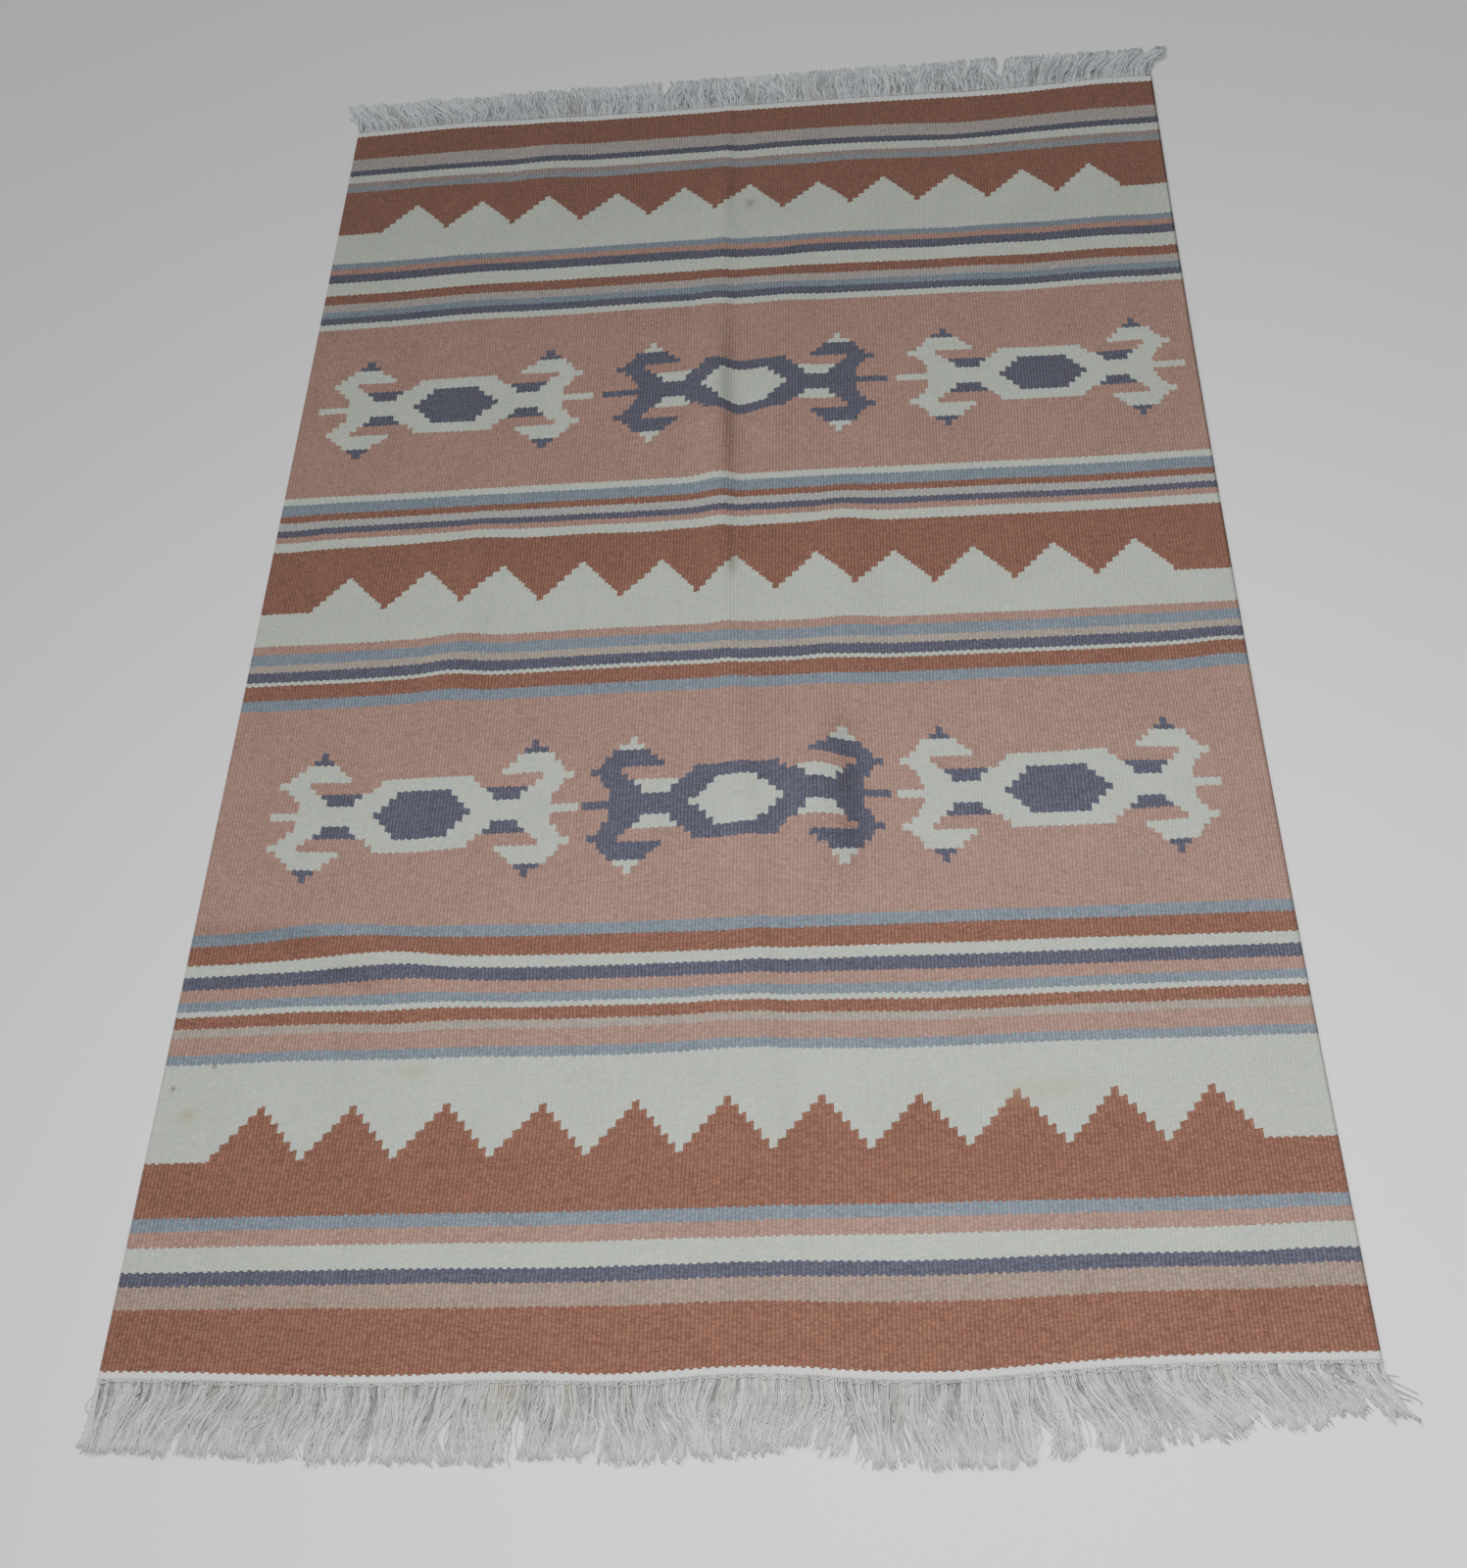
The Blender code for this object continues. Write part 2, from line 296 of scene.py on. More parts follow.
YELLOW_STAINS = (
    FaintMark(36, 250, 9, 8, 0.75),
    FaintMark(270, 290, 18, 6, 0.45),
    FaintMark(915, 255, 50, 12, 0.35),
)
# Patches of painted shade where the folds, the dent and the fold line turn away from the light
PAINTED_FOLD_SHADE = tuple(FaintMark(*row) for row in (
    (20, 458, 38, 10, 0.14), (75, 453, 36, 12, 0.22), (125, 440, 26, 12, 0.18),
    (178, 402, 24, 11, 0.20), (212, 386, 22, 10, 0.14), (728, 545, 14, 40, 0.24),
    (724, 625, 14, 50, 0.26), (716, 680, 14, 26, 0.16), (584, 1140, 7, 60, 0.16),
    (576, 1240, 9, 50, 0.22), (570, 1605, 7, 34, 0.16), (682, 1020, 44, 10, 0.10),
))
BROWN_STAINS = (
    FaintMark(595, 935, 7, 20, 0.55),
    FaintMark(600, 1590, 7, 10, 0.50),
    FaintMark(15, 279, 3, 3, 0.70),
    FaintMark(55, 302, 3, 3, 0.70),
)


class Sweep(NamedTuple):
    """Where yarn tips end at a place across the rug: how far right and how far out, in millimetres."""

    x_mm: float
    right_mm: float
    out_mm: float


NEAR_SWEEPS = tuple(Sweep(*row) for row in (
    (0, -3, -4), (45, -19, 0), (110, -23, 3), (190, -13, 8), (250, -13, 10), (320, -8, 11),
    (390, -4, 13), (440, 1, 8), (480, 5, 10), (520, 10, 16), (565, 15, 8), (595, -6, 8), (640, -2, 11),
    (680, -11, 1), (710, 2, 8), (740, 5, 18), (790, 8, 21), (850, 11, 19), (885, 17, 10), (930, 22, 7),
    (970, 24, 5), (1020, 24, -5), (1060, 21, -13), (1095, 18, -8), (1130, 14, -18), (1160, 10, -24),
    (1185, 5, -16), (1200, 2, -10),
))
FAR_SWEEPS = tuple(Sweep(*row) for row in (
    (0, -2, 0), (60, -12, 0), (150, -15, 1), (260, -9, 2), (340, 3, 3), (420, -7, 2), (500, 4, 4),
    (590, -5, 3), (660, -11, 3), (740, 6, 4), (820, -8, 3), (900, 4, 3), (980, -6, 3), (1060, 5, 2),
    (1130, 8, 1), (1200, 1, 0),
))


class Yellowing(NamedTuple):
    """A stretch of fringe that has yellowed: its middle and half-width in millimetres, and how strongly."""

    x_mm: float
    half_mm: float
    strength: float


NEAR_YELLOWINGS = (
    Yellowing(395, 14, 0.65), Yellowing(456, 4, 0.6), Yellowing(606, 5, 0.6), Yellowing(641, 4, 0.5),
    Yellowing(676, 5, 0.5), Yellowing(764, 4, 0.45), Yellowing(120, 9, 0.25), Yellowing(300, 5, 0.3),
)
FAR_YELLOWINGS = (Yellowing(330, 10, 0.4), Yellowing(700, 14, 0.35), Yellowing(820, 8, 0.35))


class End(Enum):
    """The two ends of the rug, with their direction along it."""

    NEAR = -1
    FAR = 1


@dataclass(frozen=True)
class Lie:
    """How the cloth lies on the floor: its ripples, and the places where its cross lines bow."""

    flat_below: float = 0.0009
    left_draw_in: float = 0.004
    right_draw_in: float = 0.009
    selvedge_power: int = 12

    def height(self, x: np.ndarray, y: np.ndarray) -> np.ndarray:
        """How far the underside stands off the floor.

        Args:
            x: Places across the flat cloth, in metres.
            y: Places along it.

        Returns:
            The height at each place.
        """
        total = np.zeros_like(x)
        for ripple in RIPPLES:
            turn = math.radians(ripple.turn_deg)
            over_x, over_y = x - ripple.x, y - ripple.y
            across = over_x * math.cos(turn) + over_y * math.sin(turn)
            along = over_y * math.cos(turn) - over_x * math.sin(turn)
            total += ripple.height * np.exp(-((across / ripple.across) ** 2) - (along / ripple.along) ** 2)
        return np.maximum(0.0, total - self.flat_below) + self.crease(x, y)

    def crease(self, x: np.ndarray, y: np.ndarray) -> np.ndarray:
        """The height of the narrow ridge along the line where the rug was folded for storing.

        Args:
            x: Places across the flat cloth, in metres.
            y: Places along it.

        Returns:
            The height at each place.
        """
        stops = np.array(MAIN_CREASE)
        off = x - np.interp(y, stops[:, 0], stops[:, 1])
        half = np.where(off < 0, CREASE_LEFT, np.interp(y, stops[:, 0], stops[:, 3]))
        return np.interp(y, stops[:, 0], stops[:, 2]) * np.exp(-((off / half) ** 2))

    def place(self, x: np.ndarray, y: np.ndarray) -> tuple[np.ndarray, np.ndarray]:
        """Where points of the flat cloth lie on the floor, seen from above.

        Args:
            x: Places across the flat cloth, in metres.
            y: Places along it.

        Returns:
            The places across and along the floor.
        """
        middling = 1 - (2 * y / CLOTH_LENGTH) ** 2
        side = 2 * x / CLOTH_WIDTH
        draw_in = np.where(side > 0, self.right_draw_in, self.left_draw_in) * side**2 * middling
        wander = self.shifts(WANDERS, x, y) * (1 - side**self.selvedge_power)
        return x - np.copysign(draw_in, side) + wander, y + self.shifts(BOWS, x, y)

    def shifts(self, bows: tuple[Bow, ...], x: np.ndarray, y: np.ndarray) -> np.ndarray:
        """The sum of the bows' shifts at points of the flat cloth."""
        total = np.zeros_like(x)
        for bow in bows:
            total += bow.shift * np.exp(-(((x - bow.x) / bow.across) ** 2) - ((y - bow.y) / bow.along) ** 2)
        return total


class Wiring:
    """Adds shader nodes to one material and joins them."""

    def __init__(self, name: str) -> None:
        """Start a material with its usual shader.

        Args:
            name: The material's name.
        """
        self.material = bpy.data.materials.new(name)
        self.material.use_nodes = True
        self.tree = self.material.node_tree
        self.shader = self.tree.nodes["Principled BSDF"]

    def plug(self, socket: Socket, value: object) -> None:
        """Join a socket to another one, or set it to a number or colour.

        Args:
            socket: The input.
            value: An output, a number or a tuple.
        """
        if isinstance(value, Socket):
            self.tree.links.new(value, socket)
        else:
            socket.default_value = value

    def node(self, kind: str) -> bpy.types.Node:
        """A new shader node of this kind."""
        return self.tree.nodes.new("ShaderNode" + kind)

    def math(self, operation: str, *values: object) -> Socket:
        """A sum on one to three numbers.

        Args:
            operation: Blender's name for the sum.
            values: Its inputs, in order.

        Returns:
            The result.
        """
        step = self.node("Math")
        step.operation = operation
        for socket, value in zip(step.inputs, values):
            self.plug(socket, value)
        return step.outputs[0]

    def times(self, one: object, two: object) -> Socket:
        """One number times another."""
        return self.math("MULTIPLY", one, two)

    def over(self, one: object, two: object) -> Socket:
        """One number over another."""
        return self.math("DIVIDE", one, two)

    def plus(self, one: object, two: object) -> Socket:
        """One number plus another."""
        return self.math("ADD", one, two)

    def minus(self, one: object, two: object) -> Socket:
        """One number minus another."""
        return self.math("SUBTRACT", one, two)

    def above(self, value: object, limit: object) -> Socket:
        """1 where a number is above a limit, and 0 elsewhere."""
        return self.math("GREATER_THAN", value, limit)

    def below(self, value: object, limit: object) -> Socket:
        """1 where a number is below a limit, and 0 elsewhere."""
        return self.math("LESS_THAN", value, limit)

    def hold(self, value: object, most: float = 1.0) -> Socket:
        """A number held between 0 and a limit."""
        return self.math("MINIMUM", self.math("MAXIMUM", value, 0.0), most)

    def vary(self, base: object, chance: object, amount: object) -> Socket:
        """A number raised or lowered by chance from 0 to 1, over this amount in all."""
        return self.math("MULTIPLY_ADD", self.minus(chance, 0.5), amount, base)

    def hump(self, turns: object) -> Socket:
        """A hump over each whole turn, from 0 at its ends to 1 in its middle."""
        return self.math("SINE", self.times(self.math("FRACT", turns), math.pi))

    def shaded(self, colour: object, tone: object) -> Socket:
        """A colour times a number."""
        return self.blend(1.0, colour, self.vector(tone, tone, tone), "MULTIPLY")

    def choose(self, factor: object, low: object, high: object) -> Socket:
        """A number between two, by a factor from 0 to 1."""
        return self.math("MULTIPLY_ADD", self.minus(high, low), factor, low)

    def blend(self, factor: object, low: object, high: object, how: str = "MIX") -> Socket:
        """A colour between two.

        Args:
            factor: From 0, the first, to 1, the second.
            low: The first colour.
            high: The second colour.
            how: Blender's name for the way they mix.

        Returns:
            The mixed colour.
        """
        step = self.node("Mix")
        step.data_type = "RGBA"
        step.blend_type = how
        for socket, value in zip((step.inputs[0], step.inputs[6], step.inputs[7]), (factor, low, high)):
            self.plug(socket, value)
        return step.outputs[2]

    def steps(self, value: object, starts: list[tuple[float, tuple[float, ...]]]) -> Socket:
        """A ramp of plain steps.

        Args:
            value: The number that is looked up, from 0 to 1.
            starts: Where each step starts, with its colour.

        Returns:
            The colour of the step that the value is on.
        """
        ramp = self.node("ValToRGB")
        ramp.color_ramp.interpolation = "CONSTANT"
        marks = ramp.color_ramp.elements
        marks.remove(marks[1])
        for index, (start, colour) in enumerate(starts):
            mark = marks[0] if index == 0 else marks.new(start)
            mark.position = start
            mark.color = (*colour, 1.0)
        self.plug(ramp.inputs[0], value)
        return ramp.outputs[0]

    def stairs(self, value: object, starts: list[tuple[float, float]]) -> object:
        """A number that changes by steps at exact places.

        Args:
            value: The number that is looked up.
            starts: Where each step starts, with its number.

        Returns:
            The number of the step that the value is on.
        """
        total: object = starts[0][1]
        for (_, before), (start, number) in zip(starts, starts[1:]):
            total = self.math("MULTIPLY_ADD", self.above(value, start), number - before, total)
        return total

    def attribute(self, name: str) -> Socket:
        """The vector that a mesh carries under this name."""
        reader = self.node("Attribute")
        reader.attribute_name = name
        return reader.outputs["Vector"]

    def parts(self, vector: object) -> tuple[Socket, ...]:
        """The three numbers of a vector."""
        split = self.node("SeparateXYZ")
        self.plug(split.inputs[0], vector)
        return tuple(split.outputs)

    def vector(self, *values: object) -> Socket:
        """A vector of up to three numbers."""
        joined = self.node("CombineXYZ")
        for socket, value in zip(joined.inputs, values):
            self.plug(socket, value)
        return joined.outputs[0]

    def noise(self, place: object, scale: float, detail: float = 2.0, rough: float = 0.5) -> Socket:
        """Soft noise from 0 to 1.

        Args:
            place: The vector that it follows.
            scale: Its bumps in each unit of length.
            detail: How many finer layers it has.
            rough: How strong the finer layers are.

        Returns:
            The noise.
        """
        source = self.node("TexNoise")
        self.plug(source.inputs["Vector"], place)
        source.inputs["Scale"].default_value = scale
        source.inputs["Detail"].default_value = detail
        source.inputs["Roughness"].default_value = rough
        return source.outputs[0]

    def cells(self, place: object) -> Socket:
        """Plain chance from 0 to 1, new at every place of a vector of whole numbers."""
        source = self.node("TexWhiteNoise")
        source.noise_dimensions = "2D"
        self.plug(source.inputs["Vector"], place)
        return source.outputs[0]

    def bump(self, height: object, distance: float, strength: float = 1.0) -> None:
        """Give the shader relief.

        Args:
            height: From 0 to 1.
            distance: How high 1 is, in metres.
            strength: From 0 to 1.
        """
        relief = self.node("Bump")
        relief.inputs["Strength"].default_value = strength
        relief.inputs["Distance"].default_value = distance
        self.plug(relief.inputs["Height"], height)
        self.plug(self.shader.inputs["Normal"], relief.outputs[0])


class Grain(NamedTuple):
    """Soft noise over the cloth: its bumps in each millimetre across and along, and its finer layers."""

    across: float
    along: float
    detail: float = 2.0
    rough: float = 0.5


@dataclass(frozen=True)
class WovenWool:
    """The weft-faced weave: stripes, stepped teeth and hooked medallions in dyed wool over cotton warps."""

    name: str = "woven_wool"
    pick_mm: float = 1.4
    toothing_mm: float = 0.6
    wander: Grain = Grain(0.006, 0.03)
    wander_mm: float = 2.6
    jitter_step: float = 0.02
    jitter_scale: float = 1.7
    jitter_mm: float = 1.6
    clump: Grain = Grain(0.9, 0.35)
    clump_amount: float = 0.55
    speck_amount: float = 0.50
    streak: Grain = Grain(0.03, 0.45)
    streak_amount: float = 0.14
    cloud: Grain = Grain(0.012, 0.012, 3.0)
    cloud_amount: float = 0.20
    green_light: float = 0.7
    other_light: float = 0.15
    pale_calm: float = 1.15
    wobble: Grain = Grain(0.05, 0.12)
    wobble_ribs: float = 0.5
    crest_power: float = 0.8
    crest_level: float = 0.72
    groove_shade: float = 0.70
    hue: Grain = Grain(0.06, 0.09)
    cool: tuple[float, ...] = (0.90, 1.03, 1.04, 1.0)
    warm: tuple[float, ...] = (1.10, 0.97, 0.96, 1.0)
    fleck: Grain = Grain(0.09, 0.22, 2.0, 0.6)
    fleck_level: float = 0.70
    fleck_edge: float = 6.0
    fleck_most: float = 0.45
    fleck_colour: tuple[float, ...] = (0.10, 0.075, 0.07, 1.0)
    yellow: tuple[float, ...] = (0.42, 0.36, 0.20, 1.0)
    brown: tuple[float, ...] = (0.12, 0.075, 0.05, 1.0)
    roughness: float = 0.92
    specular: float = 0.15
    sheen: float = 0.12
    sheen_roughness: float = 0.6
    fuzz_scale: float = 1.8
    fuzz_share: float = 0.35
    relief: float = 0.0005

    def bands(self, wiring: Wiring, along: object) -> Socket:
        """The yarn of each stripe.

        Args:
            wiring: The material's nodes.
            along: Millimetres from the near end of the coloured cloth.

        Returns:
            The yarn's number.
        """
        return wiring.stairs(along, [(band.start_mm, band.yarn.number) for band in BANDS])

    def teeth(self, wiring: Wiring, rib: object, along: object, number: object) -> Socket:
        """Lay the stepped teeth over the stripes.

        Args:
            wiring: The material's nodes.
            rib: The count of ribs from the left selvedge.
            along: Millimetres from the near end of the coloured cloth.
            number: The yarn so far.

        Returns:
            The yarn's number.
        """
        first = round(FIRST_TOOTH_MM / RIB_MM)
        last = round(LAST_TOOTH_MM / RIB_MM)
        inside = wiring.times(wiring.above(rib, first - 0.5), wiring.below(rib, last - 0.5))
        place = wiring.math("FLOORED_MODULO", wiring.minus(rib, float(first)), float(TOOTH_RIBS))
        pairs = wiring.over(place, 2.0)
        pair = wiring.math("FLOOR", pairs)
        for row in TEETH:
            down = wiring.minus(row.flank.value, pair if row.flank is Flank.COARSE else pairs)
            level = wiring.times(wiring.math("MINIMUM", pair, down), inside)
            top = wiring.math("MULTIPLY_ADD", level, row.step_mm, row.base_mm)
            tooth = wiring.times(wiring.above(along, row.base_mm), wiring.below(along, top))
            number = wiring.choose(tooth, number, row.yarn.number)
        return number

    def medallions(self, wiring: Wiring, across: object, along: object, number: object) -> Socket:
        """Lay the two rows of hooked medallions over the pink fields.

        Args:
            wiring: The material's nodes.
            across: Millimetres from the left selvedge, in whole ribs.
            along: Millimetres from the near end of the coloured cloth.
            number: The yarn so far.

        Returns:
            The yarn's number.
        """
        upper = wiring.above(along, ROWS_PART_MM)
        spacing = wiring.math("MULTIPLY_ADD", upper, UPPER_SPACING_MM - LOWER_SPACING_MM, LOWER_SPACING_MM)
        middle_row = wiring.math("MULTIPLY_ADD", upper, UPPER_ROW_MM - LOWER_ROW_MM, LOWER_ROW_MM)
        from_middle = wiring.minus(across, MEDALLION_MIDDLE_MM)
        turn = wiring.math("MINIMUM", wiring.math("ROUND", wiring.over(from_middle, spacing)), 1.0)
        turn = wiring.math("MAXIMUM", turn, -1.0)
        swapped = wiring.below(wiring.math("ABSOLUTE", turn), 0.5)
        narrow = wiring.times(wiring.times(swapped, wiring.minus(1.0, upper)), NARROW_BY_MM)
        off_x = wiring.math("ABSOLUTE", wiring.minus(from_middle, wiring.times(turn, spacing)))
        off_x = wiring.plus(off_x, narrow)
        off_y = wiring.math("ABSOLUTE", wiring.minus(along, middle_row))
        charted: object = 0.0
        below = 0.0
        for index, row in enumerate(MEDALLION):
            kinds = wiring.stairs(off_x, list(row.starts))
            charted = kinds if index == 0 else wiring.choose(wiring.above(off_y, below), charted, kinds)
            below = row.reach_mm
        charted = wiring.times(charted, wiring.below(off_y, below))
        bar_end = wiring.choose(upper, LOWER_BAR_END_MM, UPPER_BAR_END_MM)
        bar = wiring.times(wiring.below(off_x, bar_end), wiring.below(off_y, SIDE_BAR_MM))
        charted = wiring.math("MAXIMUM", charted, bar)
        outline = wiring.choose(swapped, Yarn.CREAM.number, Yarn.INDIGO.number)
        centre = wiring.choose(swapped, Yarn.INDIGO.number, Yarn.CREAM.number)
        figure = wiring.choose(wiring.above(charted, (OUTLINE + CENTRE) / 2), outline, centre)
        return wiring.choose(wiring.above(charted, (GROUND + OUTLINE) / 2), number, figure)

    def marks(self, wiring: Wiring, place: tuple[Socket, Socket], faint_marks: tuple[FaintMark, ...]) -> Socket:
        """Where faint stains, or patches of painted fold shade, lie.

        Args:
            wiring: The material's nodes.
            place: Millimetres from the left selvedge, and from the near end of the coloured cloth.
            faint_marks: The stains, or the patches of painted shade on the folds.

        Returns:
            How strong they are, from 0 to 1.
        """
        total: object = 0.0
        for faint_mark in faint_marks:
            off_x = wiring.over(wiring.minus(place[0], faint_mark.x_mm), faint_mark.across_mm)
            off_y = wiring.over(wiring.minus(place[1], faint_mark.y_mm), faint_mark.along_mm)
            square = wiring.math("MULTIPLY_ADD", off_x, off_x, wiring.times(off_y, off_y))
            fade = wiring.math("EXPONENT", wiring.times(square, -1.0))
            total = wiring.plus(total, wiring.times(fade, faint_mark.strength))
        return total

    def dyed(self, wiring: Wiring, number: object) -> Socket:
        """The colour of a yarn by its number."""
        whole = len(Yarn)
        starts = [(max(0.0, (yarn.number - 0.5) / whole), yarn.value) for yarn in Yarn]
        return wiring.steps(wiring.over(number, float(whole)), starts)

    def grained(self, wiring: Wiring, place: tuple[Socket, Socket], grain: Grain) -> Socket:
        """Soft noise of one grain, at a place across and along the cloth."""
        stretched = wiring.vector(wiring.times(place[0], grain.across), wiring.times(place[1], grain.along))
        return wiring.noise(stretched, 1.0, grain.detail, grain.rough)

    def weft_line(self, wiring: Wiring, place: tuple[Socket, Socket], rib: Socket, odd: Socket) -> Socket:
        """Where the weft that passes a place starts, so that edges of colour are toothed and wander a little.

        Args:
            wiring: The material's nodes.
            place: Millimetres from the left selvedge, and from the near end of the coloured cloth.
            rib: The count of ribs from the left selvedge.
            odd: 1 on every second rib, else 0.

        Returns:
            Millimetres from the near end of the coloured cloth.
        """
        slow = self.grained(wiring, place, self.wander)
        wander = wiring.times(wiring.minus(slow, 0.5), self.wander_mm)
        toothed = wiring.vary(place[1], odd, 2 * self.toothing_mm)
        seed = wiring.vector(rib, wiring.times(place[1], self.jitter_step))
        jitter = wiring.minus(wiring.noise(seed, self.jitter_scale, 0.0), 0.5)
        return wiring.plus(wiring.plus(toothed, wander), wiring.times(jitter, self.jitter_mm))

    def pattern(self, wiring: Wiring, place: tuple[Socket, Socket], rib: Socket, odd: Socket) -> Socket:
        """The dyed colours of the whole pattern.

        Args:
            wiring: The material's nodes.
            place: Millimetres from the left selvedge, and from the near end of the coloured cloth.
            rib: The count of ribs from the left selvedge.
            odd: 1 on every second rib, else 0.

        Returns:
            The colour.
        """
        along = self.weft_line(wiring, place, rib, odd)
        number = self.teeth(wiring, rib, along, self.bands(wiring, along))
        whole_across = wiring.times(wiring.plus(rib, 0.5), RIB_MM)
        return self.dyed(wiring, self.medallions(wiring, whole_across, along, number))

    def evenness(self, wiring: Wiring, colour: Socket) -> Socket:
        """How strongly a colour shows its light and shade, which is less in the pale yarns."""
        red, green, blue = wiring.parts(colour)
        others = wiring.times(wiring.plus(red, blue), self.other_light)
        light = wiring.math("MULTIPLY_ADD", green, self.green_light, others)
        return wiring.math("MULTIPLY_ADD", light, -self.pale_calm, 1.0)

    def tone(
        self, wiring: Wiring, place: tuple[Socket, Socket], cell: tuple[Socket, Socket], depth: Socket
    ) -> Socket:
        """The uneven dye, from single picks to broad clouds.

        Args:
            wiring: The material's nodes.
            place: Millimetres from the left selvedge, and from the near end of the coloured cloth.
            cell: The counts of ribs and picks.
            depth: How strongly the colour shows its light and shade.

        Returns:
            The tone, about 1.
        """
        fine = wiring.vary(0.0, wiring.cells(wiring.vector(*cell)), self.speck_amount)
        fine = wiring.vary(fine, self.grained(wiring, cell, self.clump), self.clump_amount)
        tone = wiring.math("MULTIPLY_ADD", fine, depth, 1.0)
        tone = wiring.vary(tone, self.grained(wiring, place, self.streak), self.streak_amount)
        return wiring.vary(tone, self.grained(wiring, place, self.cloud), self.cloud_amount)

    def aged(self, wiring: Wiring, place: tuple[Socket, Socket], colour: Socket) -> Socket:
        """Lay slow shifts of hue, dark flecks, painted shade on the folds and stains over the colours.

        Args:
            wiring: The material's nodes.
            place: Millimetres from the left selvedge, and from the near end of the coloured cloth.
            colour: The colour so far.

        Returns:
            The colour.
        """
        tint = wiring.blend(self.grained(wiring, place, self.hue), self.cool, self.warm)
        colour = wiring.blend(1.0, colour, tint, "MULTIPLY")
        fleck = wiring.minus(self.grained(wiring, place, self.fleck), self.fleck_level)
        flecked = wiring.hold(wiring.times(fleck, self.fleck_edge), self.fleck_most)
        colour = wiring.blend(flecked, colour, self.fleck_colour)
        # Painted shade: the colour is darkened where the folds and the dent turn away from the light
        colour = wiring.shaded(colour, wiring.minus(1.0, self.marks(wiring, place, PAINTED_FOLD_SHADE)))
        colour = wiring.blend(self.marks(wiring, place, YELLOW_STAINS), colour, self.yellow)
        return wiring.blend(self.marks(wiring, place, BROWN_STAINS), colour, self.brown)

    def build(self) -> bpy.types.Material:
        """Make the material.

        Returns:
            The woven wool.
        """
        wiring = Wiring(self.name)
        place = wiring.parts(wiring.attribute("flat"))[:2]
        ribs = wiring.over(place[0], RIB_MM)
        rib = wiring.math("FLOOR", ribs)
        odd = wiring.math("FLOORED_MODULO", rib, 2.0)
        pick = wiring.math("MULTIPLY_ADD", odd, 0.5, wiring.over(place[1], self.pick_mm))
        colour = self.pattern(wiring, place, rib, odd)
        depth = self.evenness(wiring, colour)
        tone = self.tone(wiring, place, (rib, wiring.math("FLOOR", pick)), depth)

        wobble = self.grained(wiring, place, self.wobble)
        crest = wiring.hump(wiring.vary(ribs, wobble, self.wobble_ribs))
        round_rib = wiring.math("POWER", wiring.math("MAXIMUM", crest, 0.0), self.crest_power)
        # Painted shade in the grooves between the ribs, stronger on the darker yarns
        groove = wiring.times(wiring.minus(round_rib, self.crest_level), self.groove_shade)
        tone = wiring.times(tone, wiring.math("MULTIPLY_ADD", groove, depth, 1.0))
        colour = self.aged(wiring, place, wiring.shaded(colour, tone))
        wiring.plug(wiring.shader.inputs["Base Color"], colour)
        wiring.shader.inputs["Roughness"].default_value = self.roughness
        wiring.shader.inputs["Specular IOR Level"].default_value = self.specular
        wiring.shader.inputs["Sheen Weight"].default_value = self.sheen
        wiring.shader.inputs["Sheen Roughness"].default_value = self.sheen_roughness

        fuzz = wiring.noise(wiring.attribute("flat"), self.fuzz_scale)
        height = wiring.times(wiring.hump(pick), round_rib)
        wiring.bump(wiring.math("MULTIPLY_ADD", fuzz, self.fuzz_share, height), self.relief)
        return wiring.material


